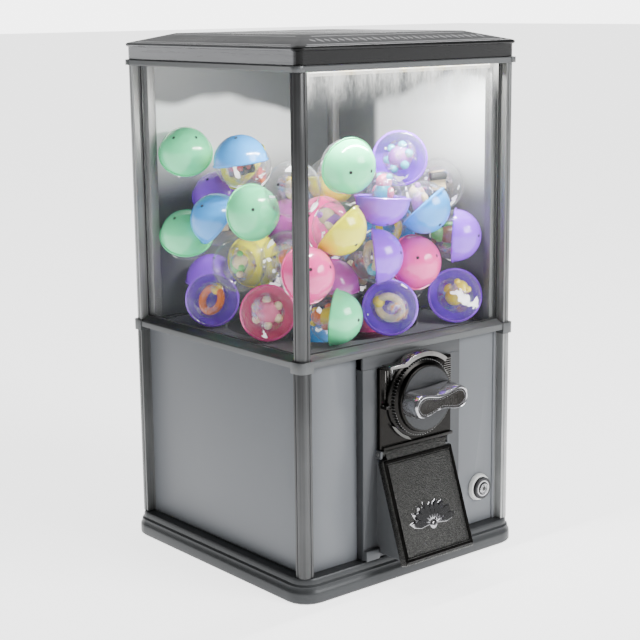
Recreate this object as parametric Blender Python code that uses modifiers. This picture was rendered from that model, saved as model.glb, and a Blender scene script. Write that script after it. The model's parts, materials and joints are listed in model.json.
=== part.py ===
"""Counter-top capsule vending machine: a square glazed hopper on a panelled cabinet.

Metres, +Z up, the front looks along -Y. The origin is the centre of the base's underside.
"""

import math

import bmesh
import bpy
from mathutils import Matrix, Vector

# ---------------------------------------------------------------- driving dimensions
GAP = 0.0003  # clearance kept between pieces that touch

HALF = 0.1600  # centre line to the outer face of the lower posts
BASE_HALF = 0.1690
BASE_TOP = 0.0280
BASE_INNER = 0.1440
LOWER_POST_TOP = 0.2572
BAND_BOTTOM = 0.2625
BAND_TOP = 0.2697
GLASS_SILL = 0.2745
TOP_BAND_BOTTOM = 0.5725
TOP_BAND_TOP = 0.5795
LID_SKIRT_TOP = 0.5938
LID_TOP = 0.6090
LID_PLATEAU = 0.1180

UPPER_HALF = 0.1593  # centre line to the outer face of the upper posts
PANEL_FACE = 0.1497  # centre line to the outer face of the lower panels
PANEL_THICK = 0.0022
PANE_FACE = 0.1499
PANE_THICK = 0.0030
PANE_WIDE = 0.1444

COLUMN_HALF = 0.0740  # half width of the housing that carries the mechanism
COLUMN_TOP = 0.2480

MECH_Z = 0.2095  # height of the handle's axis
PINION_TEETH = 12
CROWN_TEETH = 48
CROWN_INNER = 0.0990
CROWN_OUTER = 0.1100
CROWN_PITCH_R = (CROWN_INNER + CROWN_OUTER) / 2
PINION_PITCH_R = CROWN_PITCH_R * PINION_TEETH / CROWN_TEETH
TOOTH_HALF_HEIGHT = 0.00325

CAPSULE_R = 0.0325
POCKET_R = 0.0355
POCKET_CIRCLE = 0.0580  # radius of the circle that the pocket centres lie on
PAN_FLOOR = 0.2295
WHEEL_BOTTOM = 0.2420
WHEEL_TOP = 0.2630
WHEEL_R = 0.1120
TRAY_TOP = 0.2682

FLAP_MIDDLE = -0.0035  # the flap sits a little left of the column's centre line
FLAP_AXIS_Y = -0.1645
FLAP_AXIS_Z = 0.1505
FLAP_HALF = 0.0530
FLAP_LONG = 0.1270
FLAP_LEAN = math.radians(19.0)  # how far the closed flap leans out from upright

LOCK_X = 0.1170
LOCK_Z = 0.0727
DOOR_AXIS_X = 0.1414
DOOR_AXIS_Y = -0.1498

# ---------------------------------------------------------------- finishes
# name: (red, green, blue), roughness, metallic, alpha, emission
FINISHES = {
    "frame_grey": ((0.145, 0.150, 0.152), 0.42, 0.35, 1.0, 0.0),
    "base_grey": ((0.170, 0.176, 0.180), 0.42, 0.30, 1.0, 0.0),
    "panel_grey": ((0.370, 0.385, 0.400), 0.45, 0.0, 1.0, 0.0),
    "housing_grey": ((0.210, 0.220, 0.225), 0.45, 0.1, 1.0, 0.0),
    "lid_metal": ((0.120, 0.120, 0.125), 0.35, 0.85, 1.0, 0.0),
    "dark_chrome": ((0.110, 0.110, 0.105), 0.25, 1.0, 1.0, 0.0),
    "chrome": ((0.640, 0.640, 0.650), 0.08, 1.0, 1.0, 0.0),
    "pewter": ((0.120, 0.118, 0.108), 0.42, 0.9, 1.0, 0.0),
    "steel": ((0.450, 0.450, 0.450), 0.35, 1.0, 1.0, 0.0),
    "brass": ((0.550, 0.400, 0.160), 0.35, 1.0, 1.0, 0.0),
    "black_plastic": ((0.020, 0.020, 0.022), 0.5, 0.0, 1.0, 0.0),
    "grey_plastic": ((0.240, 0.245, 0.250), 0.5, 0.0, 1.0, 0.0),
    "white_plastic": ((0.700, 0.720, 0.700), 0.35, 0.0, 1.0, 0.0),
    "glass": ((0.850, 0.900, 0.900), 0.03, 0.0, 0.3, 0.0),
    "led": ((1.000, 0.960, 0.820), 0.4, 0.0, 1.0, 5.0),
    "mint": ((0.380, 0.760, 0.560), 0.3, 0.0, 1.0, 0.0),
    "lavender": ((0.480, 0.330, 0.760), 0.3, 0.0, 1.0, 0.0),
    "pink": ((0.830, 0.360, 0.520), 0.3, 0.0, 1.0, 0.0),
    "yellow": ((0.800, 0.760, 0.120), 0.3, 0.0, 1.0, 0.0),
    "sky": ((0.260, 0.560, 0.800), 0.3, 0.0, 1.0, 0.0),
}


# ---------------------------------------------------------------- scene set-up
def clear_scene():
    for obj in list(bpy.data.objects):
        bpy.data.objects.remove(obj)


def new_collection(name):
    collection = bpy.data.collections.new(name)
    bpy.context.scene.collection.children.link(collection)
    return collection


clear_scene()
PARTS = new_collection("capsule_machine")
CUTTERS = new_collection("cutters")
CUTTERS.hide_render = True


def finish_material(node, finish):
    color, roughness, metallic, alpha, emission = FINISHES[finish]
    material = bpy.data.materials.new(f"{node}_{finish}")
    material.use_nodes = True
    shader = material.node_tree.nodes["Principled BSDF"]
    shader.inputs["Base Color"].default_value = (*color, 1.0)
    shader.inputs["Roughness"].default_value = roughness
    shader.inputs["Metallic"].default_value = metallic
    shader.inputs["Alpha"].default_value = alpha
    shader.inputs["Emission Color"].default_value = (*color, 1.0)
    shader.inputs["Emission Strength"].default_value = emission
    return material


def keep(obj, finish):
    """Puts a finished piece in the parts collection with its own material."""
    PARTS.objects.link(obj)
    obj.data.materials.clear()
    obj.data.materials.append(finish_material(obj.name, finish))
    obj.data.set_sharp_from_angle(angle=math.radians(35))
    return obj


def helper(obj):
    """Marks an object as a Boolean tool, which is not a piece."""
    CUTTERS.objects.link(obj)
    obj.hide_render = True
    obj.display_type = "WIRE"
    return obj


def object_of(name, mesh_builder):
    mesh = bpy.data.meshes.new(name)
    bmesh.ops.recalc_face_normals(mesh_builder, faces=mesh_builder.faces)
    mesh_builder.to_mesh(mesh)
    mesh_builder.free()
    mesh.shade_smooth()
    return bpy.data.objects.new(name, mesh)


# ---------------------------------------------------------------- basic solids
def box(name, low, high):
    """A block between two corners."""
    builder = bmesh.new()
    bmesh.ops.create_cube(builder, size=1.0)
    size = Vector(high) - Vector(low)
    middle = (Vector(high) + Vector(low)) / 2
    bmesh.ops.scale(builder, vec=size, verts=builder.verts)
    bmesh.ops.translate(builder, vec=middle, verts=builder.verts)
    return object_of(name, builder)


AXIS_FRAMES = {
    "Z": Matrix.Identity(4),
    "Y": Matrix(((1, 0, 0, 0), (0, 0, 1, 0), (0, 1, 0, 0), (0, 0, 0, 1))),
    "X": Matrix(((0, 0, 1, 0), (1, 0, 0, 0), (0, 1, 0, 0), (0, 0, 0, 1))),
}
# Each frame takes the outline's two coordinates to the two axes left, in X, Y, Z order.


def plate(name, outlines, axis, low, high):
    """A flat outline, with any holes, extruded along an axis from low to high."""
    curve = bpy.data.curves.new(name, "CURVE")
    curve.dimensions = "2D"
    curve.fill_mode = "BOTH"
    curve.extrude = (high - low) / 2
    for points in outlines:
        spline = curve.splines.new("POLY")
        spline.points.add(len(points) - 1)
        spline.use_cyclic_u = True
        for point, (u, v) in zip(spline.points, points):
            point.co = (u, v, 0.0, 1.0)
    source = bpy.data.objects.new(name, curve)
    bpy.context.scene.collection.objects.link(source)
    bpy.context.view_layer.update()
    graph = bpy.context.evaluated_depsgraph_get()
    builder = bmesh.new()
    flat = bpy.data.meshes.new_from_object(source.evaluated_get(graph))
    builder.from_mesh(flat)
    bpy.data.objects.remove(source)
    bmesh.ops.remove_doubles(builder, verts=builder.verts, dist=0.00001)
    bmesh.ops.translate(builder, vec=(0, 0, (high + low) / 2), verts=builder.verts)
    bmesh.ops.transform(builder, matrix=AXIS_FRAMES[axis], verts=builder.verts)
    return object_of(name, builder)


def turned(name, profile, axis="Z", centre=(0, 0, 0), steps=36):
    """A closed profile of (radius, height along the axis) points, turned about the axis."""
    builder = bmesh.new()
    points = [builder.verts.new((radius, 0, height)) for radius, height in profile]
    for first, second in zip(points, points[1:] + points[:1]):
        if first.co.x > 0 or second.co.x > 0:
            builder.edges.new((first, second))
    source = object_of(name, builder)
    bpy.context.scene.collection.objects.link(source)
    screw = source.modifiers.new("turn", "SCREW")
    screw.steps = steps
    screw.render_steps = steps
    screw.use_merge_vertices = True
    screw.merge_threshold = 0.00005
    bpy.context.view_layer.update()
    graph = bpy.context.evaluated_depsgraph_get()
    round_mesh = bpy.data.meshes.new_from_object(source.evaluated_get(graph))
    bpy.data.objects.remove(source)
    builder = bmesh.new()
    builder.from_mesh(round_mesh)
    bmesh.ops.remove_doubles(builder, verts=builder.verts, dist=0.00001)
    bmesh.ops.transform(builder, matrix=AXIS_FRAMES[axis], verts=builder.verts)
    bmesh.ops.translate(builder, vec=centre, verts=builder.verts)
    return object_of(name, builder)


def cylinder(name, radius, axis, centre, low, high, steps=24):
    """A round bar along an axis; centre gives its place across the axis."""
    profile = [(0, low), (radius, low), (radius, high), (0, high)]
    place = {"X": (0, *centre), "Y": (centre[0], 0, centre[1]), "Z": (*centre, 0)}[axis]
    return turned(name, profile, axis, place, steps)


def rounded_square(half, radius, z, steps=5):
    """One ring of a square section with rounded corners."""
    ring = []
    for corner in range(4):
        for step in range(steps + 1):
            angle = math.pi / 2 * (corner + step / steps)
            sign_x, sign_y = ((1, 1), (-1, 1), (-1, -1), (1, -1))[corner]
            x = sign_x * (half - radius) + radius * math.cos(angle)
            y = sign_y * (half - radius) + radius * math.sin(angle)
            ring.append((x, y, z))
    return ring


def loft(name, rings, closed):
    """Joins rings that have equally many points; closed joins the last to the first."""
    builder = bmesh.new()
    rows = [[builder.verts.new(point) for point in ring] for ring in rings]
    pairs = list(zip(rows, rows[1:]))
    if closed:
        pairs.append((rows[-1], rows[0]))
    else:
        builder.faces.new(rows[0])
        builder.faces.new(rows[-1])
    for lower, upper in pairs:
        for i, corner in enumerate(lower):
            after = (i + 1) % len(lower)
            builder.faces.new((corner, lower[after], upper[after], upper[i]))
    return object_of(name, builder)


def boolean(obj, tool, operation):
    modifier = obj.modifiers.new(operation.lower(), "BOOLEAN")
    modifier.operation = operation
    modifier.object = helper(tool)
    return obj


def cut(obj, *tools):
    for tool in tools:
        boolean(obj, tool, "DIFFERENCE")
    return obj


def weld_on(obj, *tools):
    for tool in tools:
        boolean(obj, tool, "UNION")
    return obj


def bevel(obj, width, segments=2, angle=40):
    modifier = obj.modifiers.new("bevel", "BEVEL")
    modifier.width = width
    modifier.segments = segments
    modifier.limit_method = "ANGLE"
    modifier.angle_limit = math.radians(angle)
    return obj


def rectangle(low_u, high_u, low_v, high_v):
    return [(low_u, low_v), (high_u, low_v), (high_u, high_v), (low_u, high_v)]


def circle(radius, centre=(0, 0), steps=36):
    angles = [2 * math.pi * i / steps for i in range(steps)]
    return [(centre[0] + radius * math.cos(a), centre[1] + radius * math.sin(a)) for a in angles]


def arc(radius, start, end, steps, centre=(0, 0)):
    angles = [math.radians(start + (end - start) * i / steps) for i in range(steps + 1)]
    return [(centre[0] + radius * math.cos(a), centre[1] + radius * math.sin(a)) for a in angles]


# ---------------------------------------------------------------- cabinet frame
def base_pan():
    """The moulded foot: a stepped rim round a flat floor."""
    inner_radius = 0.008
    rings = [
        rounded_square(BASE_INNER, inner_radius, 0.0030),
        rounded_square(BASE_INNER, inner_radius, BASE_TOP),
        rounded_square(0.1622, 0.018, BASE_TOP),
        rounded_square(0.1634, 0.020, 0.0250),
        rounded_square(0.1640, 0.021, 0.0215),
        rounded_square(0.1662, 0.024, 0.0195),
        rounded_square(0.1670, 0.025, 0.0150),
        rounded_square(0.1684, 0.027, 0.0135),
        rounded_square(BASE_HALF, 0.028, 0.0110),
        rounded_square(BASE_HALF, 0.028, 0.0020),
        rounded_square(0.1670, 0.026, 0.0),
    ]
    keep(loft("base_pan", rings, closed=False), "base_grey")


def post_outline(half, face, recess, slot, depth, corner):
    """Section of a corner extrusion, for the corner at (+half, +half).

    face is the width of each outer face, recess the depth of the panel's face behind it,
    slot the depth of the face that the panel rests on, depth the whole section.
    """
    lip = face + 0.0020
    groove, groove_wide, groove_deep = face - 0.0042, 0.0012, 0.0007
    side = [
        (groove, 0.0),
        (groove, groove_deep),
        (groove + groove_wide, groove_deep),
        (groove + groove_wide, 0.0),
        (face, 0.0),
        (face, recess),
        (lip, recess),
        (lip, slot),
        (depth, slot),
    ]
    rounding = arc(corner, 180, 270, 5, (corner, corner))
    mirrored = [(v, u) for u, v in reversed(side)]
    local = rounding + side + [(depth, depth)] + mirrored
    return [(half - u, half - v) for u, v in local]


CORNERS = {
    "front_left": (-1, -1),
    "front_right": (1, -1),
    "back_left": (-1, 1),
    "back_right": (1, 1),
}


def posts():
    lower = post_outline(HALF, 0.0140, 0.0100, 0.0128, 0.0240, 0.0075)
    upper = post_outline(UPPER_HALF, 0.0126, 0.0092, 0.0128, 0.0233, 0.0065)
    spans = {
        "lower_post": (lower, BASE_TOP + GAP, LOWER_POST_TOP),
        "upper_post": (upper, BAND_TOP + 2 * GAP, TOP_BAND_BOTTOM - GAP),
    }
    for kind, (outline, bottom, top) in spans.items():
        for place, (sign_x, sign_y) in CORNERS.items():
            points = [(sign_x * x, sign_y * y) for x, y in outline]
            keep(plate(f"{kind}_{place}", [points], "Z", bottom, top), "frame_grey")


def corner_blocks(name, outer, inner, bottom, top):
    """One block at each corner of the plan, as Boolean tools."""
    blocks = []
    for place, (sign_x, sign_y) in CORNERS.items():
        rounding = arc(0.0075, 0, 90, 4, (outer - 0.0075, outer - 0.0075))
        points = [(inner, inner), (outer, inner)] + rounding[:-1] + [(outer - 0.0075, outer), (inner, outer)]
        points = [(sign_x * x, sign_y * y) for x, y in points]
        blocks.append(plate(f"{name}_{place}", [points], "Z", bottom, top))
    return blocks


def mid_frame():
    """The band round the middle: it carries the glass, the hopper tray and the upper posts."""
    rings = [
        rounded_square(0.1385, 0.004, BAND_BOTTOM),
        rounded_square(0.1610, 0.010, BAND_BOTTOM),
        rounded_square(0.1610, 0.010, 0.2686),
        rounded_square(0.1600, 0.009, BAND_TOP),
        rounded_square(0.1512, 0.004, GLASS_SILL),
        rounded_square(0.1502, 0.003, GLASS_SILL - 0.0004),
        rounded_square(0.1502, 0.003, 0.2702),
        rounded_square(0.1430, 0.002, 0.2702),
        rounded_square(0.1430, 0.002, 0.2657),
        rounded_square(0.1385, 0.004, 0.2657),
    ]
    frame = loft("mid_frame", rings, closed=True)
    cut(frame, *corner_blocks("post_seat", 0.1660, 0.1446, 0.2698, 0.2800))
    weld_on(frame, *corner_blocks("corner_block", 0.1622, 0.1442, 0.2575, 0.2700))
    keep(frame, "frame_grey")


def top_frame():
    """The band under the lid, with a groove that holds the top edges of the glass."""
    rings = [
        rounded_square(0.1504, 0.003, TOP_BAND_BOTTOM),
        rounded_square(0.1606, 0.008, TOP_BAND_BOTTOM),
        rounded_square(0.1615, 0.009, TOP_BAND_BOTTOM + 0.0012),
        rounded_square(0.1615, 0.009, TOP_BAND_TOP - 0.0012),
        rounded_square(0.1606, 0.008, TOP_BAND_TOP),
        rounded_square(0.1430, 0.002, TOP_BAND_TOP),
        rounded_square(0.1430, 0.002, 0.5768),
        rounded_square(0.1504, 0.003, 0.5768),
    ]
    frame = loft("top_frame", rings, closed=True)
    weld_on(frame, *corner_blocks("top_pad", 0.1625, 0.1520, 0.5729, 0.5791))
    keep(frame, "frame_grey")


def lid():
    """The hipped cover: a thin shell with a skirt, a rolled lip and a flat top."""
    rings = [
        rounded_square(0.1165, 0.003, LID_TOP - 0.0026),
        rounded_square(0.1572, 0.008, 0.5958),
        rounded_square(0.1575, 0.008, TOP_BAND_TOP + GAP),
        rounded_square(0.1600, 0.009, TOP_BAND_TOP + GAP),
        rounded_square(0.1600, 0.009, LID_SKIRT_TOP),
        rounded_square(0.1624, 0.011, LID_SKIRT_TOP + 0.0008),
        rounded_square(0.1630, 0.012, LID_SKIRT_TOP + 0.0022),
        rounded_square(0.1626, 0.011, LID_SKIRT_TOP + 0.0036),
        rounded_square(0.1606, 0.009, LID_SKIRT_TOP + 0.0046),
        rounded_square(LID_PLATEAU, 0.003, LID_TOP),
    ]
    keep(loft("lid", rings, closed=False), "lid_metal")


def led_strip():
    low = (-0.1330, -0.1464, 0.5670)
    high = (0.1330, -0.1400, 0.5765)
    keep(box("led_strip", low, high), "led")


# ---------------------------------------------------------------- panels and glass
def side_sheet(name, side, wide, face, thick, bottom, top, finish):
    """A flat sheet in one side of the plan: front, back, left or right."""
    near, far = face - thick, face
    corners = {
        "front": ((-wide, -far, bottom), (wide, -near, top)),
        "back": ((-wide, near, bottom), (wide, far, top)),
        "left": ((-far, -wide, bottom), (-near, wide, top)),
        "right": ((near, -wide, bottom), (far, wide, top)),
    }
    keep(box(name, *corners[side]), finish)


def panels():
    bottom, top = BASE_TOP + GAP, BAND_BOTTOM - GAP
    wide = HALF - 0.0163
    for side in ("left", "right", "back"):
        side_sheet(f"{side}_panel", side, wide, PANEL_FACE, PANEL_THICK, bottom, top, "panel_grey")
    low = (-wide, -PANEL_FACE, bottom)
    high = (-COLUMN_HALF - 2 * GAP, -PANEL_FACE + PANEL_THICK, top)
    keep(box("front_left_panel", low, high), "panel_grey")


def glass():
    bottom, top = 0.2705, 0.5765
    for side in ("front", "back", "left", "right"):
        side_sheet(f"{side}_pane", side, PANE_WIDE, PANE_FACE, PANE_THICK, bottom, top, "glass")


# ---------------------------------------------------------------- cash door and its lock
def cash_door():
    """The front right panel, hung on an upright rod inside its rolled right edge."""
    bottom, top = BASE_TOP + 2 * GAP, BAND_BOTTOM - 2 * GAP
    low = (COLUMN_HALF + 2 * GAP, -PANEL_FACE, bottom)
    high = (DOOR_AXIS_X, -PANEL_FACE + PANEL_THICK, top)
    door = box("cash_door", low, high)
    place = (DOOR_AXIS_X, DOOR_AXIS_Y)
    weld_on(door, cylinder("door_roll", 0.0022, "Z", place, bottom, top, 14))
    cut(door, cylinder("door_bore", 0.0014, "Z", place, bottom - 0.01, top + 0.01, 14))
    cut(door, cylinder("lock_hole", 0.0102, "Y", (LOCK_X, LOCK_Z), -0.17, -0.14, 24))
    keep(door, "panel_grey")
    rod = cylinder("door_rod", 0.0010, "Z", place, BASE_TOP + GAP, BAND_BOTTOM - GAP, 12)
    keep(rod, "steel")


def lock():
    centre = (LOCK_X, 0, LOCK_Z)
    bezel = [
        (0.0102, -0.1500),
        (0.0165, -0.1500),
        (0.0164, -0.1512),
        (0.0150, -0.1548),
        (0.0142, -0.1552),
        (0.0102, -0.1552),
    ]
    keep(turned("lock_bezel", bezel, "Y", centre, 32), "white_plastic")
    body = [
        (0.0070, -0.1590),
        (0.0124, -0.1592),
        (0.0132, -0.1584),
        (0.0132, -0.1555),
        (0.0098, -0.1555),
        (0.0098, -0.1400),
        (0.0070, -0.1400),
    ]
    keep(turned("lock_body", body, "Y", centre, 28), "black_plastic")
    hexagon = circle(0.0145, (LOCK_X, LOCK_Z), 6)
    hole = circle(0.0103, (LOCK_X, LOCK_Z), 24)
    keep(plate("lock_nut", [hexagon, hole], "Y", -0.1472, -0.1432), "steel")
    barrel = cylinder("lock_barrel", 0.0066, "Y", (LOCK_X, LOCK_Z), -0.1600, -0.1386, 24)
    keep(barrel, "chrome")
    tip, root = 0.0060, 0.0085
    outline = arc(root, 180, 360, 8, (LOCK_X, LOCK_Z))
    outline += arc(tip, 0, 180, 6, (LOCK_X, LOCK_Z + 0.0395))
    keep(plate("lock_cam", [outline], "Y", -0.1383, -0.1360), "steel")


def cash_box():
    tray = box("cash_box", (0.0780, -0.1430, 0.0033), (0.1350, -0.0300, 0.0580))
    cut(tray, box("cash_box_space", (0.0796, -0.1414, 0.0049), (0.1334, -0.0316, 0.0700)))
    keep(tray, "steel")


def coin_chute():
    """A sloping trough that carries coins from the mechanism over to the cash box."""
    long, wide, high, thick = 0.1080, 0.0180, 0.0120, 0.0012
    trough = box("coin_chute", (-long / 2, -wide / 2, 0), (long / 2, wide / 2, high))
    space_low = (-long, -wide / 2 + thick, thick)
    space_high = (long, wide / 2 - thick, high * 2)
    space = box("coin_space", space_low, space_high)
    slope = Matrix.Rotation(math.radians(21.5), 4, "Y")
    place = Matrix.Translation((0.0360, -0.1290, 0.1400)) @ slope
    trough.data.transform(place)
    space.data.transform(place)
    keep(cut(trough, space), "steel")


# ---------------------------------------------------------------- housing and chute
def flap_point(out, along):
    """World (y, z) of a point of the closed flap: out is forward, along is down from the axis."""
    y = FLAP_AXIS_Y - out * math.cos(FLAP_LEAN) - along * math.sin(FLAP_LEAN)
    z = FLAP_AXIS_Z + out * math.sin(FLAP_LEAN) - along * math.cos(FLAP_LEAN)
    return (y, z)


def housing():
    """The column: front plate with two openings, return walls, cheeks and pick-up floor."""
    front = rectangle(-COLUMN_HALF, COLUMN_HALF, BASE_TOP + GAP, COLUMN_TOP)
    mech_hole = rectangle(-0.0480, 0.0480, 0.1600, 0.2430)
    chute_hole = rectangle(FLAP_MIDDLE - 0.0455, FLAP_MIDDLE + 0.0455, 0.0400, 0.1430)
    body = plate("housing", [front, mech_hole, chute_hole], "Y", -HALF, -0.1570)
    rear = (-0.1575, 0.0350)
    cheek = [flap_point(0.0033, 0.0085), flap_point(0.0033, 0.1230), rear, (-0.1575, 0.1420)]
    floor = [(-0.2030, 0.0353), (-0.2030, 0.0377), (-0.1575, 0.0376), rear]
    weld_on(body, plate("floor", [floor], "X", FLAP_MIDDLE - 0.0480, FLAP_MIDDLE + 0.0480))
    for name, sign in (("left", -1), ("right", 1)):
        low, high = sorted((sign * 0.0462, sign * 0.0500))
        weld_on(body, plate(f"cheek_{name}", [cheek], "X", FLAP_MIDDLE + low, FLAP_MIDDLE + high))
        low, high = sorted((sign * 0.0712, sign * 0.0739))
        weld_on(body, box(f"wall_{name}", (low, -0.1575, 0.0286), (high, -0.1390, 0.2477)))
        low, high = sorted((FLAP_MIDDLE + sign * 0.0498, sign * 0.0738))
        weld_on(body, bevel(box(f"plinth_{name}", (low, -0.1655, 0.0288), (high, -0.1580, 0.0410)), 0.0015))
        low, high = sorted((sign * 0.0494, sign * 0.0530))
        lug_low = (FLAP_MIDDLE + low, FLAP_AXIS_Y - 0.0050, FLAP_AXIS_Z - 0.0050)
        lug = box(f"lug_{name}", lug_low, (FLAP_MIDDLE + high, -0.1580, FLAP_AXIS_Z + 0.0042))
        weld_on(body, bevel(lug, 0.0012))
    bore = cylinder("lug_bore", 0.0025, "X", (FLAP_AXIS_Y, FLAP_AXIS_Z), -0.07, 0.07, 16)
    keep(cut(body, bore), "housing_grey")
    low = (-COLUMN_HALF, -HALF, COLUMN_TOP + GAP)
    high = (COLUMN_HALF, -0.1570, BAND_BOTTOM - GAP)
    keep(box("header_plate", low, high), "housing_grey")


def capsule_chute():
    """Back wall, ramp and two side walls that lead a capsule from the drop hole to the flap."""
    outer = [(-0.1567, 0.0370), (-0.1567, 0.1170), (-0.0955, 0.1240), (-0.0945, 0.2260)]
    outer += [(-0.0190, 0.2260), (-0.0190, 0.1160)]
    slope = (0.1160 - 0.0370) / (0.1567 - 0.0190)
    space = [
        (-0.1700, 0.0396 - 0.0133 * slope),
        (-0.1700, 0.3000),
        (-0.0210, 0.3000),
        (-0.0210, 0.1160 + 0.0026 - 0.0020 * slope),
    ]
    chute = plate("capsule_chute", [outer], "X", -0.0440, 0.0440)
    keep(cut(chute, plate("chute_space", [space], "X", -0.0420, 0.0420)), "grey_plastic")


def flap():
    """The pick-up flap: a pan-shaped door hung from a rod along its top edge."""
    out, back, thick = 0.0060, 0.0040, 0.0024
    side = 0.0023
    door = box("flap", (-FLAP_HALF, -out, -FLAP_LONG), (FLAP_HALF, back, -0.0075))
    bevel(door, 0.0014, 1)
    inner_low = (-FLAP_HALF + side, -out + thick, -FLAP_LONG + side)
    cut(door, box("flap_space", inner_low, (FLAP_HALF - side, back + 0.01, 0.01)))
    roll, neck = 0.0490, 0.0455
    weld_on(door, box("flap_neck", (-neck, -out + 0.0010, -0.0120), (neck, -0.0022, -0.0010)))
    weld_on(door, cylinder("flap_roll", 0.0042, "X", (0, 0), -roll, roll, 18))
    cut(door, cylinder("flap_bore", 0.0026, "X", (0, 0), -0.07, 0.07, 16))
    hinge = bpy.data.objects.new("flap_axis", None)
    PARTS.objects.link(hinge)
    hinge.location = (FLAP_MIDDLE, FLAP_AXIS_Y, FLAP_AXIS_Z)
    hinge.rotation_euler = (-FLAP_LEAN, 0, 0)
    keep(door, "pewter").parent = hinge
    for modifier in door.modifiers:
        if modifier.type == "BOOLEAN":
            modifier.object.parent = hinge
    ends = (FLAP_MIDDLE - 0.0536, FLAP_MIDDLE + 0.0536)
    rod = cylinder("flap_rod", 0.0021, "X", (FLAP_AXIS_Y, FLAP_AXIS_Z), *ends, 14)
    keep(rod, "steel")


# ---------------------------------------------------------------- coin mechanism
def mech_plate():
    """The cast face plate: shallow tray, with a ledge, a coin slot and a bottom lip."""
    face, rear = -0.1670, -0.1603
    body = box("mech_plate", (-0.0545, face, 0.1552), (0.0545, rear, 0.2485))
    bevel(body, 0.0012, 1)
    cut(body, box("mech_back", (-0.0522, face + 0.0028, 0.1573), (0.0522, rear + 0.01, 0.2462)))
    weld_on(body, box("mech_ledge", (-0.0540, -0.1760, 0.2035), (-0.0472, -0.1655, 0.2068)))
    weld_on(body, box("mech_lip", (-0.0530, -0.1712, 0.1556), (0.0530, -0.1655, 0.1590)))
    cut(body, cylinder("mech_bore", 0.0070, "Y", (0, MECH_Z), -0.18, -0.15, 20))
    keep(body, "dark_chrome")


def mech_cover():
    """The stepped round cover in front of the coin carrier."""
    outer = [(0.0070, 0.0244), (0.0376, 0.0244), (0.0390, 0.0232), (0.0390, 0.0185), (0.0424, 0.0172)]
    outer += [(0.0430, 0.0160), (0.0430, 0.0122), (0.0462, 0.0112), (0.0468, 0.0100), (0.0468, 0.0073)]
    inner = [(0.0362, 0.0073), (0.0362, 0.0216), (0.0070, 0.0216)]
    profile = [(radius, -HALF - out) for radius, out in outer + inner]
    keep(turned("mech_cover", profile, "Y", (0, 0, MECH_Z), 40), "dark_chrome")


def coin_hood():
    """The chrome guard over the top of the cover, with the coin shelf at its left end."""
    centre = (0, MECH_Z)
    outline = arc(0.0530, 50, 125, 14, centre)
    outline += [(-0.0520, MECH_Z + 0.0434), (-0.0520, MECH_Z + 0.0396)]
    outline += arc(0.0474, 124, 50, 14, centre)
    hood = plate("coin_hood", [outline], "Y", -HALF - 0.0215, -HALF - 0.0073)
    keep(bevel(hood, 0.0010, 1), "chrome")


def coin_carrier():
    """The disc behind the cover that takes the coin round, with one coin notch."""
    notch = arc(0.0130, 200, 340, 8, (0, MECH_Z + 0.0345))
    rim = arc(0.0345, 70, -250, 36, (0, MECH_Z))
    bore = circle(0.0064, (0, MECH_Z), 20)
    carrier = plate("coin_carrier", [rim + notch, bore], "Y", -HALF - 0.0195, -HALF - 0.0100)
    keep(carrier, "brass")


def handle_outline(half_long, waist, lobe, y):
    """One ring of the bow-tie grip: two rounded lobes with a waist, the right end a little higher."""
    shoulder, rise, steps = 0.70, 0.0015, 22
    upper, lower = [], []
    for i in range(1, steps):
        s = -math.cos(math.pi * i / steps)
        swell = math.sin(math.pi / 2 * min(abs(s) / shoulder, 1.0)) ** 2
        half = waist + (lobe - waist) * swell
        if abs(s) > shoulder:
            half *= math.sqrt(1 - ((abs(s) - shoulder) / (1 - shoulder)) ** 2)
        middle = MECH_Z + rise * math.sin(math.pi / 2 * s)
        upper.append((half_long * s, y, middle + half))
        lower.append((half_long * s, y, middle - half))
    ends = ((half_long, y, MECH_Z + rise), (-half_long, y, MECH_Z - rise))
    return lower + [ends[0]] + upper[::-1] + [ends[1]]


def handle():
    """The grip: full and oval at the back, drawn in to a bow tie at the front."""
    rings = [
        handle_outline(0.0385, 0.0125, 0.0130, -HALF - 0.0250),
        handle_outline(0.0400, 0.0140, 0.0145, -HALF - 0.0265),
        handle_outline(0.0400, 0.0115, 0.0140, -HALF - 0.0360),
        handle_outline(0.0400, 0.0085, 0.0130, -HALF - 0.0475),
        handle_outline(0.0385, 0.0070, 0.0115, -HALF - 0.0495),
    ]
    grip = loft("handle", rings, closed=False)
    cut(grip, cylinder("handle_bore", 0.0064, "Y", (0, MECH_Z), -HALF - 0.0365, -HALF, 20))
    keep(grip, "chrome")
    shaft = cylinder("handle_shaft", 0.0060, "Y", (0, MECH_Z), -HALF - 0.0360, -0.0952, 20)
    keep(shaft, "steel")


def pinion():
    """A straight-sided spur pinion with one tooth pointing straight up."""
    tip = PINION_PITCH_R + TOOTH_HALF_HEIGHT
    root = PINION_PITCH_R - TOOTH_HALF_HEIGHT - 0.0008
    pitch = 2 * math.pi / PINION_TEETH
    root_half, tip_half = 0.0034 / root, 0.0014 / tip
    outline = []
    for tooth in range(PINION_TEETH):
        middle = math.pi / 2 + tooth * pitch
        for radius, offset in ((root, -root_half), (tip, -tip_half), (tip, tip_half), (root, root_half)):
            angle = middle + offset
            outline.append((radius * math.cos(angle), MECH_Z + radius * math.sin(angle)))
    bore = circle(0.0064, (0, MECH_Z), 20)
    keep(plate("pinion", [outline, bore], "Y", -0.1095, -0.0995), "brass")


def gear_bracket():
    """A yoke behind the housing that carries the far end of the shaft."""
    yoke = box("gear_bracket", (-0.0345, -0.1567, 0.1950), (0.0345, -0.0957, 0.2250))
    cut(yoke, box("yoke_space", (-0.0320, -0.1700, 0.1800), (0.0320, -0.0982, 0.2400)))
    cut(yoke, cylinder("yoke_bore", 0.0064, "Y", (0, MECH_Z), -0.11, -0.08, 20))
    keep(yoke, "steel")


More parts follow.
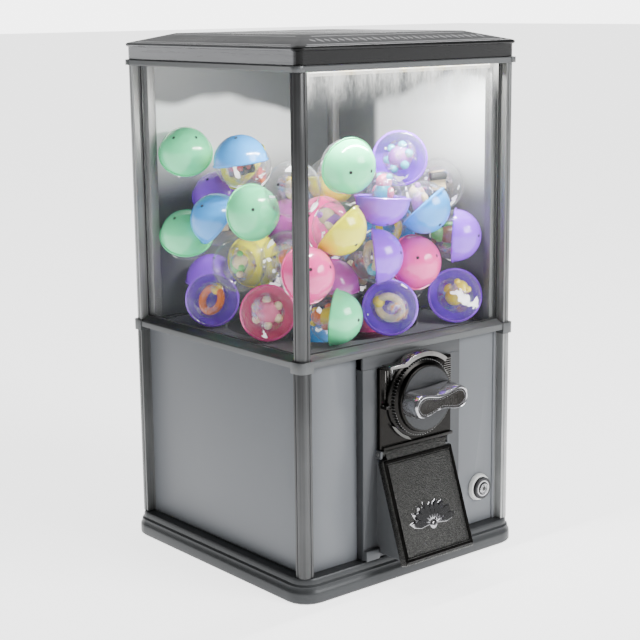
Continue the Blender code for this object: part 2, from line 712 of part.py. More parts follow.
# ---------------------------------------------------------------- hopper and capsule wheel
def hopper_pan():
    """The tray under the capsules: a flange, a round well for the wheel, and the drop hole."""
    wall_inner, wall_outer, under = 0.1140, 0.1165, PAN_FLOOR - 0.0030
    cup = [(0, under), (wall_outer, under), (wall_outer, TRAY_TOP), (wall_inner, TRAY_TOP)]
    cup += [(wall_inner, PAN_FLOOR), (0, PAN_FLOOR)]
    pan = turned("hopper_pan", cup, "Z", (0, 0, 0), 48)
    flange = [(x, y) for x, y, _ in rounded_square(0.1427, 0.0265, 0, 6)]
    flange_hole = circle(0.1152, steps=48)
    weld_on(pan, plate("pan_flange", [flange, flange_hole], "Z", 0.2660, TRAY_TOP - 0.0002))
    cut(pan, cylinder("drop_hole", POCKET_R, "Z", (0, -POCKET_CIRCLE), 0.20, 0.24, 32))
    cut(pan, box("pinion_slot", (-0.0260, -0.1118, 0.20), (0.0260, -0.0972, 0.24)))
    cut(pan, cylinder("spindle_hole", 0.0064, "Z", (0, 0), 0.20, 0.24, 20))
    keep(pan, "grey_plastic")


def pocket_places():
    """Centres of the wheel's four pockets at rest, none of them over the drop hole."""
    angles = [math.radians(45 + 90 * i) for i in range(4)]
    return [(POCKET_CIRCLE * math.cos(a), POCKET_CIRCLE * math.sin(a)) for a in angles]


def capsule_wheel():
    outlines = [circle(WHEEL_R, steps=60), circle(0.0068, steps=20)]
    outlines += [circle(POCKET_R, place, 32) for place in pocket_places()]
    wheel = plate("capsule_wheel", outlines, "Z", WHEEL_BOTTOM, WHEEL_TOP)
    keep(wheel, "black_plastic")


def crown_gear():
    """A ring of teeth on the wheel's underside; a gap between teeth faces the pinion."""
    tip_z = MECH_Z + PINION_PITCH_R - TOOTH_HALF_HEIGHT
    root_z = MECH_Z + PINION_PITCH_R + TOOTH_HALF_HEIGHT + 0.0004
    top_z = WHEEL_BOTTOM - GAP
    pitch = 2 * math.pi / CROWN_TEETH
    root_half, tip_half = 0.0032 / CROWN_PITCH_R, 0.0015 / CROWN_PITCH_R
    rings = []
    for tooth in range(CROWN_TEETH):
        middle = -math.pi / 2 + (tooth + 0.5) * pitch
        for offset, z in ((-root_half, root_z), (-tip_half, tip_z), (tip_half, tip_z), (root_half, root_z)):
            c, s = math.cos(middle + offset), math.sin(middle + offset)
            section = ((CROWN_INNER, z), (CROWN_OUTER, z), (CROWN_OUTER, top_z), (CROWN_INNER, top_z))
            rings.append([(radius * c, radius * s, height) for radius, height in section])
    keep(loft("crown_gear", rings, closed=True), "white_plastic")


def spindle():
    """The fixed pin that the wheel turns on, its cap, and the guard over the drop hole."""
    pin = [(0, 0.2240), (0.0120, 0.2240), (0.0120, 0.2262), (0.0060, 0.2262), (0.0060, 0.2962), (0, 0.2962)]
    keep(turned("wheel_spindle", pin, "Z", (0, 0, 0), 20), "steel")
    cap = [(0.0064, WHEEL_TOP + GAP), (0.0190, WHEEL_TOP + GAP), (0.0185, 0.2670), (0.0150, 0.2710)]
    cap += [(0.0095, 0.2740), (0.0064, 0.2745)]
    keep(turned("wheel_cap", cap, "Z", (0, 0, 0), 24), "black_plastic")
    outline = [(0.0100, 0.0080), (-0.0100, 0.0080), (-0.0170, -0.0200), (-0.0340, -0.0330)]
    outline += [(-0.0340, -0.0700), (-0.0260, -0.0790), (0.0200, -0.0790)]
    outline += [(0.0340, -0.0700), (0.0340, -0.0330), (0.0170, -0.0200)]
    keep(plate("drop_guard", [outline], "Z", 0.2965, 0.2985), "black_plastic")


def capsule(name, centre, finish):
    builder = bmesh.new()
    bmesh.ops.create_uvsphere(builder, u_segments=14, v_segments=9, radius=CAPSULE_R - 0.0001)
    bmesh.ops.translate(builder, vec=centre, verts=builder.verts)
    keep(object_of(name, builder), finish)


def capsules():
    colours = ("lavender", "mint", "sky", "pink")
    rest_z = PAN_FLOOR + GAP + CAPSULE_R
    for number, ((x, y), finish) in enumerate(zip(pocket_places(), colours), start=1):
        capsule(f"wheel_capsule_{number}", (x, y, rest_z), finish)
    wall = PANE_FACE - PANE_THICK - GAP - CAPSULE_R
    corner = wall - 0.0014
    low = TRAY_TOP + GAP + CAPSULE_R
    loose = {
        "front_left": (-0.0740, -wall, low, "mint"),
        "front_middle": (0.0080, -wall, low, "lavender"),
        "front_right": (corner, -corner, low, "lavender"),
        "left_front": (-wall, -0.0450, low, "pink"),
        "left_back": (-wall, 0.0620, low, "lavender"),
        "back_right": (corner, corner, low, "sky"),
    }
    for place, (x, y, z, finish) in loose.items():
        capsule(f"loose_capsule_{place}", (x, y, z), finish)


def build():
    base_pan()
    posts()
    mid_frame()
    top_frame()
    lid()
    led_strip()
    panels()
    glass()
    cash_door()
    lock()
    cash_box()
    coin_chute()
    housing()
    capsule_chute()
    flap()
    mech_plate()
    mech_cover()
    coin_hood()
    coin_carrier()
    handle()
    pinion()
    gear_bracket()
    hopper_pan()
    capsule_wheel()
    crown_gear()
    spindle()
    capsules()


build()
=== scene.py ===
"""Looks of the capsule vending machine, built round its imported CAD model."""

import json
import math
import random

import bmesh
import bpy
from mathutils import Matrix, Vector

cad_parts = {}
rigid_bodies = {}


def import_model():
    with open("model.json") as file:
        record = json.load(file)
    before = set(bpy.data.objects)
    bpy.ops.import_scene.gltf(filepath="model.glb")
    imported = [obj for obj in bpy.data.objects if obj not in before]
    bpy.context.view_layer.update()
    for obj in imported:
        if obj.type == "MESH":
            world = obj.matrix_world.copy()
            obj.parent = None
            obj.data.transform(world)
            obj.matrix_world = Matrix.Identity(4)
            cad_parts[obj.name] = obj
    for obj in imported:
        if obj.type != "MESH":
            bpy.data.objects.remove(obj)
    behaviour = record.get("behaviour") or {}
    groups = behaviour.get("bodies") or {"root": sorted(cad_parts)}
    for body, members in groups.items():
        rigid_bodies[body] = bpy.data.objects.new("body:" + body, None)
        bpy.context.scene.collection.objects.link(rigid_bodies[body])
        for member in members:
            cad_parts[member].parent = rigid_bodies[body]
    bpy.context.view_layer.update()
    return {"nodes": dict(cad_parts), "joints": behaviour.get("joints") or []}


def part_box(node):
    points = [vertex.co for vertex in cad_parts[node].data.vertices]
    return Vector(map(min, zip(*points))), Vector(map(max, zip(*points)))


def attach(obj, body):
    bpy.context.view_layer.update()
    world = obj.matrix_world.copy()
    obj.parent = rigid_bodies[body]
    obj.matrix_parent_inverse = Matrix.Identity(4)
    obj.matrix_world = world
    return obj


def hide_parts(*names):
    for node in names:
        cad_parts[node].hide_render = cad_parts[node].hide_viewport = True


for leftover in list(bpy.data.objects):
    bpy.data.objects.remove(leftover)

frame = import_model()
NODES = frame["nodes"]
JOINTS = {joint["name"]: joint for joint in frame["joints"]}


def middle(node):
    low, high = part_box(node)
    return (low + high) / 2


# ---------------------------------------------------------------- places taken from the frame
COVER_LOW, COVER_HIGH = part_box("mech_cover")
PLATE_LOW, PLATE_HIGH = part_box("mech_plate")
DIAL = middle("mech_cover")
COVER_FRONT = COVER_LOW.y
PLATE_FACE = -0.1670
CAPSULE_R = 0.0324
HINGE = Vector(JOINTS["flap_hinge"]["pos_m"])
FLAP_LEAN = math.radians(19.0)
FLAP_FRAME = Matrix.Translation(HINGE) @ Matrix.Rotation(-FLAP_LEAN, 4, "X")
LOCK = Vector(JOINTS["lock_turn"]["pos_m"])
WALL = -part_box("front_pane")[1].y - CAPSULE_R - 0.0004
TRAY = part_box("hopper_pan")[1].z

CAMERA_PLACE = Vector((-1.13247, -1.37000, 0.64306))
CAMERA_YAW, CAMERA_PITCH, CAMERA_ROLL = math.radians(39.54), math.radians(11.86), math.radians(0.616)
CAMERA_LENS = 85.33


# ---------------------------------------------------------------- materials
class Recipe:
    """A material's node tree, with short ways to add and join nodes."""

    def __init__(self, name):
        self.material = bpy.data.materials.new(name)
        self.material.use_nodes = True
        self.tree = self.material.node_tree
        self.shader = self.tree.nodes["Principled BSDF"]
        self.place = self.add("ShaderNodeTexCoord").outputs["Object"]

    def add(self, kind, inputs=None, **settings):
        node = self.tree.nodes.new(kind)
        for name, value in settings.items():
            setattr(node, name, value)
        for name, value in (inputs or {}).items():
            self.feed(node.inputs[name], value)
        return node

    def feed(self, socket, value):
        if isinstance(value, bpy.types.NodeSocket):
            self.tree.links.new(value, socket)
        else:
            socket.default_value = value

    def set(self, **values):
        """Sets the shader's sockets; an underscore in a name stands for a space."""
        for name, value in values.items():
            self.feed(self.shader.inputs[name.replace("_", " ")], value)

    def stretched(self, scale, turn=(0, 0, 0)):
        inputs = {"Vector": self.place, "Scale": scale, "Rotation": turn}
        return self.add("ShaderNodeMapping", inputs).outputs["Vector"]

    def noise(self, scale, detail=3.0, vector=None):
        inputs = {"Vector": vector or self.place, "Scale": scale, "Detail": detail}
        return self.add("ShaderNodeTexNoise", inputs).outputs["Fac"]

    def ramp(self, factor, stops):
        node = self.add("ShaderNodeValToRGB", {"Fac": factor})
        elements = node.color_ramp.elements
        while len(elements) < len(stops):
            elements.new(0.5)
        for element, (position, color) in zip(elements, stops):
            element.position = position
            element.color = (*color, 1.0) if len(color) == 3 else color
        return node.outputs["Color"]

    def levels(self, factor, low, high):
        """Takes the middle of a noise's range to the span from low to high."""
        inputs = {"Value": factor, "From Min": 0.3, "From Max": 0.7, "To Min": low, "To Max": high}
        return self.add("ShaderNodeMapRange", inputs).outputs["Result"]

    def span(self, value, start, end, low=0.0, high=1.0):
        inputs = {"Value": value, "From Min": start, "From Max": end, "To Min": low, "To Max": high}
        return self.add("ShaderNodeMapRange", inputs, interpolation_type="SMOOTHSTEP").outputs["Result"]

    def math(self, operation, first, second):
        node = self.add("ShaderNodeMath", operation=operation)
        self.feed(node.inputs[0], first)
        self.feed(node.inputs[1], second)
        return node.outputs["Value"]

    def axes(self):
        node = self.add("ShaderNodeSeparateXYZ", {"Vector": self.place})
        return node.outputs["X"], node.outputs["Y"], node.outputs["Z"]

    def bump(self, height, strength, distance):
        inputs = {"Height": height, "Strength": strength, "Distance": distance}
        self.set(Normal=self.add("ShaderNodeBump", inputs).outputs["Normal"])


def shade(color, amount):
    """A colour made darker or lighter, no channel over 1."""
    return tuple(min(1.0, channel * amount) for channel in color)


def finish(name, color, roughness, metallic=0.0, change=0.12, grain=900, bump=0.08,
           stretch=(1, 1, 1), coat=0.0, glow=0.0, shine=0.22):
    """Paint, plastic or metal: cloudy colour, uneven gloss and a fine grain; glow is a painted glow in the
    surface's own colour, standing in for light let through.
    """
    recipe = Recipe(name)
    clouds = recipe.noise(9.0, 4.0)
    fine = recipe.noise(grain, 2.0, recipe.stretched(stretch))
    both = recipe.math("ADD", recipe.math("MULTIPLY", clouds, 0.6), recipe.math("MULTIPLY", fine, 0.4))
    stops = [(0.32, shade(color, 1 - change)), (0.68, shade(color, 1 + change))]
    clouded = recipe.ramp(both, stops)
    recipe.set(Base_Color=clouded, Metallic=metallic, Coat_Weight=coat)
    recipe.set(Emission_Color=clouded, Emission_Strength=glow, Specular_IOR_Level=shine)
    recipe.set(Roughness=recipe.levels(both, roughness * 0.8, min(1.0, roughness * 1.2)))
    recipe.bump(fine, bump, 0.0004)
    return recipe.material


def hammered(name, dark, light, size, roughness, depth):
    """Cast metal with a pebbled surface: light crowns, dark seams."""
    recipe = Recipe(name)
    warp = recipe.noise(size * 0.5, 2.0)
    cells = recipe.add("ShaderNodeTexVoronoi", {"Vector": recipe.place, "Scale": size}).outputs["Distance"]
    height = recipe.math("ADD", cells, recipe.math("MULTIPLY", warp, 0.6))
    recipe.set(Base_Color=recipe.ramp(height, [(0.45, light), (0.95, dark)]), Metallic=0.9)
    recipe.set(Roughness=recipe.levels(warp, roughness * 0.8, roughness * 1.25))
    recipe.bump(height, depth, 0.0011)
    return recipe.material


def pane_material(name, haze):
    """Clear sheet with a faint haze and soft smears. It returns the recipe, to be added to."""
    recipe = Recipe(name)
    smear = recipe.noise(6.0, 4.0, recipe.stretched((1.0, 1.0, 0.35)))
    cloud = recipe.levels(smear, haze * 0.55, haze * 1.5)
    edge = recipe.add("ShaderNodeLayerWeight", {"Blend": 0.25}).outputs["Facing"]
    opacity = recipe.math("ADD", cloud, recipe.math("MULTIPLY", edge, 0.10))
    recipe.set(Base_Color=recipe.ramp(smear, [(0.35, (0.10, 0.11, 0.115)), (0.7, (0.17, 0.18, 0.19))]))
    recipe.set(Roughness=0.05, Alpha=opacity, Specular_IOR_Level=0.12)
    return recipe


def front_glass():
    """The front sheet carries the light bar's glow: bright streaks that fade downwards."""
    recipe = pane_material("front_glass", 0.015)
    z = recipe.axes()[2]
    wide = recipe.noise(60.0, 2.0, recipe.stretched((1.0, 1.0, 0.05)))
    fine = recipe.noise(260.0, 3.0, recipe.stretched((1.0, 1.0, 0.35)))
    streaks = recipe.math("ADD", recipe.math("MULTIPLY", wide, 0.55), recipe.math("MULTIPLY", fine, 0.45))
    fade = recipe.span(z, 0.522, 0.574)
    glow = recipe.math("MULTIPLY", fade, recipe.levels(streaks, 0.08, 1.0))
    recipe.set(Emission_Color=recipe.ramp(glow, [(0.0, (0, 0, 0)), (1.0, (1.0, 0.99, 0.93))]))
    recipe.set(Emission_Strength=3.0)
    alpha = recipe.shader.inputs["Alpha"].links[0].from_socket
    recipe.set(Alpha=recipe.math("ADD", alpha, recipe.math("MULTIPLY", glow, 0.75)))
    return recipe.material


def back_glass(name, along, top, slope, start, end):
    """The far sheets: misted grey, with a painted reflection on the inner face: a soft pale glowing mound
    that falls from start to end.
    """
    recipe = Recipe(name)
    x, y, z = recipe.axes()
    run, depth = {"X": (x, y), "Y": (y, x)}[along]
    sheet_middle = middle("back_pane").y
    within = recipe.span(depth, sheet_middle + 0.0004, sheet_middle - 0.0004)
    wave = recipe.math("MULTIPLY", recipe.math("SUBTRACT", recipe.noise(11.0, 1.5), 0.5), 0.045)
    fall = recipe.math("MULTIPLY", recipe.math("MAXIMUM", recipe.math("SUBTRACT", run, start), 0.0), slope)
    over = recipe.math("ADD", recipe.math("ADD", recipe.math("SUBTRACT", z, top), fall), wave)
    upper = recipe.span(over, 0.005, -0.007)
    lower = recipe.span(z, 0.405, 0.475)
    inside = recipe.span(run, end + 0.012, end - 0.004)
    ends = recipe.math("MULTIPLY", inside, within)
    # The pale mound is a painted reflection, and it also glows faintly.
    painted_reflection = recipe.math("MULTIPLY", recipe.math("MULTIPLY", upper, lower), ends)
    grey = recipe.ramp(recipe.noise(3.0, 2.0), [(0.3, (0.070, 0.078, 0.082)), (0.7, (0.125, 0.135, 0.140))])
    mixed = recipe.add("ShaderNodeMix", data_type="RGBA")
    recipe.feed(mixed.inputs["Factor"], recipe.math("MULTIPLY", painted_reflection, 0.9))
    recipe.feed(mixed.inputs[6], grey)
    recipe.feed(mixed.inputs[7], (0.72, 0.76, 0.76, 1.0))
    recipe.set(Base_Color=mixed.outputs[2], Roughness=0.35)
    recipe.set(Emission_Color=recipe.ramp(painted_reflection, [(0.0, (0, 0, 0)), (1.0, (0.9, 0.95, 0.95))]))
    recipe.set(Emission_Strength=0.42)
    recipe.set(Alpha=recipe.levels(recipe.noise(5.0, 2.0), 0.95, 0.99))
    return recipe.material


def clear_shell(name):
    """Thin clear plastic: nearly invisible face on, a bright thin rim, and small sharp glints."""
    recipe = Recipe(name)
    rim = recipe.add("ShaderNodeLayerWeight", {"Blend": 0.30}).outputs["Facing"]
    thin = recipe.math("MULTIPLY", recipe.math("POWER", rim, 2.6), 0.80)
    glints = recipe.span(recipe.noise(38.0, 5.0), 0.635, 0.665)
    scuffs = recipe.levels(recipe.noise(160.0, 3.0), 0.04, 0.11)
    opacity = recipe.math("ADD", recipe.math("ADD", thin, scuffs), recipe.math("MULTIPLY", glints, 0.8))
    tone = recipe.ramp(glints, [(0.0, (0.46, 0.48, 0.52)), (1.0, (0.96, 0.97, 0.98))])
    recipe.set(Base_Color=tone, Roughness=0.07, Alpha=opacity, Specular_IOR_Level=1.0)
    recipe.set(Emission_Color=tone, Emission_Strength=recipe.math("MULTIPLY", glints, 1.4))
    return recipe.material


def glowing():
    """The light bar: a bright line of lamps along its top, and a paler diffuser below."""
    recipe = Recipe("light_bar")
    z = recipe.axes()[2]
    lamps = recipe.noise(90.0, 0.0, recipe.stretched((1.0, 0.05, 0.05)))
    warm = recipe.ramp(lamps, [(0.3, (1.0, 0.88, 0.60)), (0.65, (1.0, 0.98, 0.90))])
    line = recipe.span(z, 0.5702, 0.5710, 0.35, 9.0)
    recipe.set(Base_Color=warm, Emission_Color=warm, Emission_Strength=line, Roughness=0.4)
    return recipe.material


def wrapper():
    """Crumpled printed film round a toy: white with torn patches of bright colour."""
    recipe = Recipe("wrapper")
    inputs = {"Vector": recipe.place, "Scale": 42.0, "Detail": 5.0, "Distortion": 2.2}
    fold = recipe.add("ShaderNodeTexNoise", inputs).outputs["Fac"]
    stops = [(0.32, (0.05, 0.03, 0.10)), (0.38, (0.70, 0.04, 0.26)), (0.42, (0.42, 0.44, 0.48))]
    stops += [(0.46, (0.04, 0.26, 0.80)), (0.50, (0.60, 0.63, 0.66)), (0.54, (0.32, 0.05, 0.66))]
    stops += [(0.59, (0.70, 0.72, 0.74)), (0.65, (0.90, 0.38, 0.02))]
    print_colour = recipe.ramp(fold, stops)
    recipe.set(Base_Color=print_colour, Roughness=0.22, Coat_Weight=0.5)
    # A faint painted glow in the print's colours.
    recipe.set(Emission_Color=print_colour, Emission_Strength=0.08)
    recipe.set(Alpha=recipe.levels(recipe.noise(55.0, 3.0), -0.40, 0.60))
    recipe.bump(fold, 0.9, 0.004)
    return recipe.material


def lid_paint():
    """Brushed smoky sheet with painted light: painted shade darkens the front skirt, a painted reflection
    lightens the left one, and their shared corner is painted near black.
    """
    recipe = Recipe("lid")
    x, y = recipe.axes()[:2]
    brushed = recipe.noise(240.0, 3.0, recipe.stretched((0.05, 0.05, 1.0)))
    sheet = recipe.ramp(brushed, [(0.3, (0.074, 0.075, 0.078)), (0.7, (0.092, 0.094, 0.098))])
    # Painted light: a painted reflection lightens the left skirt and painted shade darkens the front one;
    # below, the corner where they meet is darkened to near black.
    left = recipe.math("MULTIPLY", recipe.span(x, -0.1555, -0.1580), 0.25)
    front = recipe.math("MULTIPLY", recipe.span(y, -0.1555, -0.1580), 0.92)
    level = recipe.math("SUBTRACT", recipe.math("ADD", 1.0, left), front)
    corner = recipe.math("MULTIPLY", recipe.span(x, -0.1520, -0.1550), recipe.span(y, -0.1520, -0.1550))
    level = recipe.math("MAXIMUM", recipe.math("SUBTRACT", level, corner), 0.02)
    lit_and_shaded_sheet = recipe.add("ShaderNodeVectorMath", operation="SCALE")
    recipe.feed(lit_and_shaded_sheet.inputs[0], sheet)
    recipe.feed(lit_and_shaded_sheet.inputs["Scale"], level)
    recipe.set(Base_Color=lit_and_shaded_sheet.outputs[0], Metallic=0.45, Specular_IOR_Level=0.2)
    recipe.set(Roughness=recipe.levels(brushed, 0.24, 0.38))
    recipe.bump(brushed, 0.12, 0.0004)
    return recipe.material


UPRIGHT = (1.0, 1.0, 0.02)
SHELL_COLOURS = {
    "mint": (0.12, 0.84, 0.38),
    "lavender": (0.30, 0.06, 0.92),
    "sky": (0.04, 0.36, 0.92),
    "pink": (0.90, 0.07, 0.34),
    "yellow": (0.82, 0.80, 0.01),
    "plum": (0.47, 0.08, 0.42),
}
TOY_COLOURS = {
    "orange": (0.90, 0.20, 0.01),
    "sun": (0.94, 0.74, 0.01),
    "red": (0.66, 0.02, 0.02),
    "cyan": (0.05, 0.52, 0.72),
    "leaf": (0.12, 0.52, 0.12),
    "violet": (0.35, 0.10, 0.55),
    "brown": (0.20, 0.09, 0.04),
    "cream": (0.80, 0.66, 0.40),
    "rose": (0.85, 0.16, 0.34),
}
# finish: name, colour, roughness, metallic, change of tone, size of grain, bump, stretch of grain
MATERIALS = {
    # The three post finishes are one extruded metal painted in light and shade: the darkest is the shaded
    # copy, the middle one half lit, the palest lit.
    "post": finish("post", (0.044, 0.045, 0.046), 0.36, 0.40, 0.45, 330, 0.25, UPRIGHT),
    "post_painted_lit": finish("post_painted_lit", (0.210, 0.215, 0.215), 0.36, 0.35, 0.35, 330, 0.25, UPRIGHT),
    "post_painted_half_lit": finish("post_painted_half_lit", (0.105, 0.108, 0.108), 0.36, 0.40, 0.35, 330, 0.25, UPRIGHT),
    "rail": finish("rail", (0.074, 0.077, 0.079), 0.36, 0.45, 0.10, 700, 0.06),
    "base": finish("base", (0.038, 0.040, 0.042), 0.38, 0.35, 0.08, 1200, 0.05),
    "panel": finish("panel", (0.114, 0.121, 0.131), 0.42, 0.0, 0.05, 1600, 0.04),
    "housing": finish("housing", (0.055, 0.058, 0.062), 0.42, 0.25, 0.07, 1400, 0.05),
    "lid": lid_paint(),
    # The header's darker grey is painted shade, where the plate lies under the band.
    "header": finish("header", (0.044, 0.046, 0.049), 0.60, 0.0, 0.07, 1400, 0.05),
    "lid_trim": finish("lid_trim", (0.42, 0.42, 0.43), 0.35, 0.25, 0.12, 700, 0.06),
    "gasket": finish("gasket", (0.012, 0.012, 0.013), 0.55, 0.0, 0.2, 900, 0.10),
    "casting": finish("casting", (0.012, 0.0115, 0.011), 0.24, 1.0, 0.22, 500, 0.12),
    "face": finish("face", (0.030, 0.031, 0.033), 0.34, 0.8, 0.25, 1100, 0.35),
    "grip": finish("grip", (0.36, 0.36, 0.38), 0.12, 0.92, 0.06, 300, 0.03),
    "hood": finish("hood", (0.125, 0.122, 0.118), 0.12, 1.0, 0.20, 260, 0.08),
    "chrome": finish("chrome", (0.30, 0.30, 0.31), 0.12, 1.0, 0.06, 300, 0.03),
    "pewter": hammered("pewter", (0.018, 0.018, 0.0175), (0.040, 0.040, 0.038), 700, 0.38, 0.6),
    # relief: a paler copy of the casting metal, used for the painted highlight on the face plate.
    "relief": finish("relief", (0.060, 0.060, 0.058), 0.20, 1.0, 0.18, 800, 0.15),
    "stipple": hammered("stipple", (0.004, 0.0035, 0.003), (0.017, 0.015, 0.013), 760, 0.34, 0.6),
    "steel": finish("steel", (0.22, 0.22, 0.22), 0.34, 1.0, 0.10, 600, 0.10, (0.05, 1.0, 1.0)),
    "brass": finish("brass", (0.55, 0.40, 0.16), 0.32, 1.0, 0.12, 600, 0.08),
    "black": finish("black", (0.016, 0.016, 0.018), 0.42, 0.0, 0.25, 1300, 0.10),
    "tray": finish("tray", (0.16, 0.17, 0.18), 0.45, 0.0, 0.08, 1100, 0.08),
    "plastic": finish("plastic", (0.60, 0.61, 0.60), 0.30, 0.0, 0.04, 1300, 0.04, coat=0.3),
    "side_glass": pane_material("side_glass", 0.045).material,
    "front_glass": front_glass(),
    "back_glass": back_glass("back_glass", "X", 0.524, 0.22, -0.02, 0.085),
    "right_glass": back_glass("right_glass", "Y", 0.563, 0.36, -0.06, 0.060),
    "light_bar": glowing(),
    "clear": clear_shell("clear_half"),
    "frost": clear_shell("frost_half"),
    "wrapper": wrapper(),
    "hole": finish("hole", (0.03, 0.03, 0.03), 0.6, 0.0, 0.2, 900, 0.05),
}
# Shells and toys get a faint painted glow, standing in for light let through.
for shell, shell_color in SHELL_COLOURS.items():
    gloss = {"coat": 0.6, "glow": 0.05, "shine": 0.5}
    MATERIALS[shell] = finish(shell, shell_color, 0.20, 0.0, 0.07, 300, 0.03, **gloss)
for toy, toy_color in TOY_COLOURS.items():
    gloss = {"coat": 0.2, "glow": 0.05, "shine": 0.5}
    MATERIALS[toy] = finish(f"toy_{toy}", toy_color, 0.30, 0.0, 0.12, 260, 0.06, **gloss)

NODE_FINISH = {
    "base_pan": "base",
    "mid_frame": "rail",
    "top_frame": "rail",
    "lid": "lid",
    "led_strip": "light_bar",
    "front_pane": "front_glass",
    "left_pane": "side_glass",
    "back_pane": "back_glass",
    "right_pane": "right_glass",
    "lock_bezel": "plastic",
    "lock_body": "black",
    "lock_barrel": "chrome",
    "housing": "housing",
    # The header plate takes the painted-shade grey.
    "header_plate": "header",
    "capsule_chute": "tray",
    "hopper_pan": "tray",
    "mech_plate": "casting",
    "mech_cover": "casting",
    "coin_hood": "hood",
    # Posts take the lit or half-lit copy of their metal by where they stand: painted light.
    "lower_post_front_right": "post_painted_lit",
    "upper_post_front_right": "post_painted_half_lit",
    "upper_post_back_left": "post_painted_lit",
    "upper_post_back_right": "post_painted_lit",
    "lower_post_back_left": "post_painted_half_lit",
    "coin_carrier": "brass",
    "pinion": "brass",
    "capsule_wheel": "black",
    "crown_gear": "plastic",
    "wheel_cap": "black",
    "drop_guard": "black",
    "flap": "pewter",
}


def finish_of(node):
    if node in NODE_FINISH:
        return NODE_FINISH[node]
    # Posts not listed take the darkest copy, which paints them in shade.
    if "post" in node:
        return "post"
    if "panel" in node or node == "cash_door":
        return "panel"
    return "steel"


SHARP_ANGLE = 32
BEVEL_ANGLE = 40
FINE_EDGE = 0.0002


def smoothing_group():
    """Geometry nodes that shade smooth, with sharp edges where faces meet at an angle."""
    group = bpy.data.node_groups.new("smooth_by_angle", "GeometryNodeTree")
    group.interface.new_socket("Geometry", in_out="INPUT", socket_type="NodeSocketGeometry")
    group.interface.new_socket("Geometry", in_out="OUTPUT", socket_type="NodeSocketGeometry")
    start = group.nodes.new("NodeGroupInput")
    end = group.nodes.new("NodeGroupOutput")
    faces = group.nodes.new("GeometryNodeSetShadeSmooth")
    edges = group.nodes.new("GeometryNodeSetShadeSmooth")
    edges.domain = "EDGE"
    edges.inputs["Shade Smooth"].default_value = False
    angle = group.nodes.new("GeometryNodeInputMeshEdgeAngle")
    sharp = group.nodes.new("FunctionNodeCompare")
    sharp.operation = "GREATER_THAN"
    sharp.inputs[1].default_value = math.radians(SHARP_ANGLE)
    link = group.links.new
    link(angle.outputs["Unsigned Angle"], sharp.inputs[0])
    link(sharp.outputs["Result"], edges.inputs["Selection"])
    link(start.outputs[0], faces.inputs["Geometry"])
    link(faces.outputs[0], edges.inputs["Geometry"])
    link(edges.outputs[0], end.inputs[0])
    return group


SMOOTHING = smoothing_group()
ROUNDED_EDGES = {
    "base_pan": 0.0006,
    "mid_frame": 0.0005,
    "top_frame": 0.0005,
    "lid": 0.0008,
    "housing": 0.0005,
    "mech_plate": 0.0005,
    "mech_cover": 0.0004,
    "coin_hood": 0.0005,
    "flap": 0.0006,
    "cash_door": 0.0003,
}


def smooth(obj):
    obj.modifiers.new("smooth", "NODES").node_group = SMOOTHING


def round_off(obj, width):
    bevel = obj.modifiers.new("edges", "BEVEL")
    bevel.width = width
    bevel.segments = 2
    bevel.limit_method = "ANGLE"
    bevel.angle_limit = math.radians(BEVEL_ANGLE)


def dress_cad_nodes():
    for name, node in NODES.items():
        flat_normals = node.data.attributes.get("custom_normal")
        if flat_normals:
            node.data.attributes.remove(flat_normals)
        weld = node.modifiers.new("weld", "WELD")
        weld.merge_threshold = 0.000005
        if "pane" not in name or "panel" in name:
            round_off(node, ROUNDED_EDGES.get(name, FINE_EDGE))
        smooth(node)
        node.data.materials.clear()
        node.data.materials.append(MATERIALS[finish_of(name)])


# ---------------------------------------------------------------- mesh helpers
def piece(name, builder, materials, body, round_edges=0.0):
    """Makes an object from a bmesh, gives it its finishes and lets it ride on a body."""
    mesh = bpy.data.meshes.new(name)
    builder.to_mesh(mesh)
    builder.free()
    obj = bpy.data.objects.new(name, mesh)
    bpy.context.scene.collection.objects.link(obj)
    for material in materials:
        mesh.materials.append(MATERIALS[material])
    if round_edges:
        round_off(obj, round_edges)
    smooth(obj)
    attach(obj, body)
    return obj


def add_ring_wall(builder, lower, upper, material=0, cyclic=True):
    count = len(lower)
    for i in range(count if cyclic else count - 1):
        after = (i + 1) % count
        face = builder.faces.new((lower[i], lower[after], upper[after], upper[i]))
        face.material_index = material


def add_turned(builder, profile, place=None, steps=32, material=0):
    """Turns (radius, height) points about local Z; place puts the result in the row frame."""
    place = place or Matrix.Identity(4)
    rows = []
    for radius, height in profile:
        if radius < 1e-6:
            rows.append([builder.verts.new(place @ Vector((0, 0, height)))])
            continue
        row = []
        for i in range(steps):
            angle = 2 * math.pi * i / steps
            point = Vector((radius * math.cos(angle), radius * math.sin(angle), height))
            row.append(builder.verts.new(place @ point))
        rows.append(row)
    for lower, upper in zip(rows, rows[1:]):
        if len(lower) == 1 and len(upper) == 1:
            continue
        if len(lower) == 1 or len(upper) == 1:
            tip, ring = (lower[0], upper) if len(lower) == 1 else (upper[0], lower)
            for i in range(steps):
                face = builder.faces.new((tip, ring[i], ring[(i + 1) % steps]))
                face.material_index = material
            continue
        add_ring_wall(builder, lower, upper, material)


def add_bar(builder, low, high, place=None, material=0, taper=0.0):
    """A block between two corners, its -Y face drawn in by taper."""
    place = place or Matrix.Identity(4)
    lx, ly, lz = low
    hx, hy, hz = high
    corners = []
    for y, inset in ((ly, taper), (hy, 0.0)):
        row = [(lx + inset, y, lz + inset), (hx - inset, y, lz + inset)]
        row += [(hx - inset, y, hz - inset), (lx + inset, y, hz - inset)]
        corners.append([builder.verts.new(place @ Vector(p)) for p in row])
    front, back = corners
    faces = [builder.faces.new(front), builder.faces.new(back[::-1])]
    for face in faces:
        face.material_index = material
    add_ring_wall(builder, front, back, material)


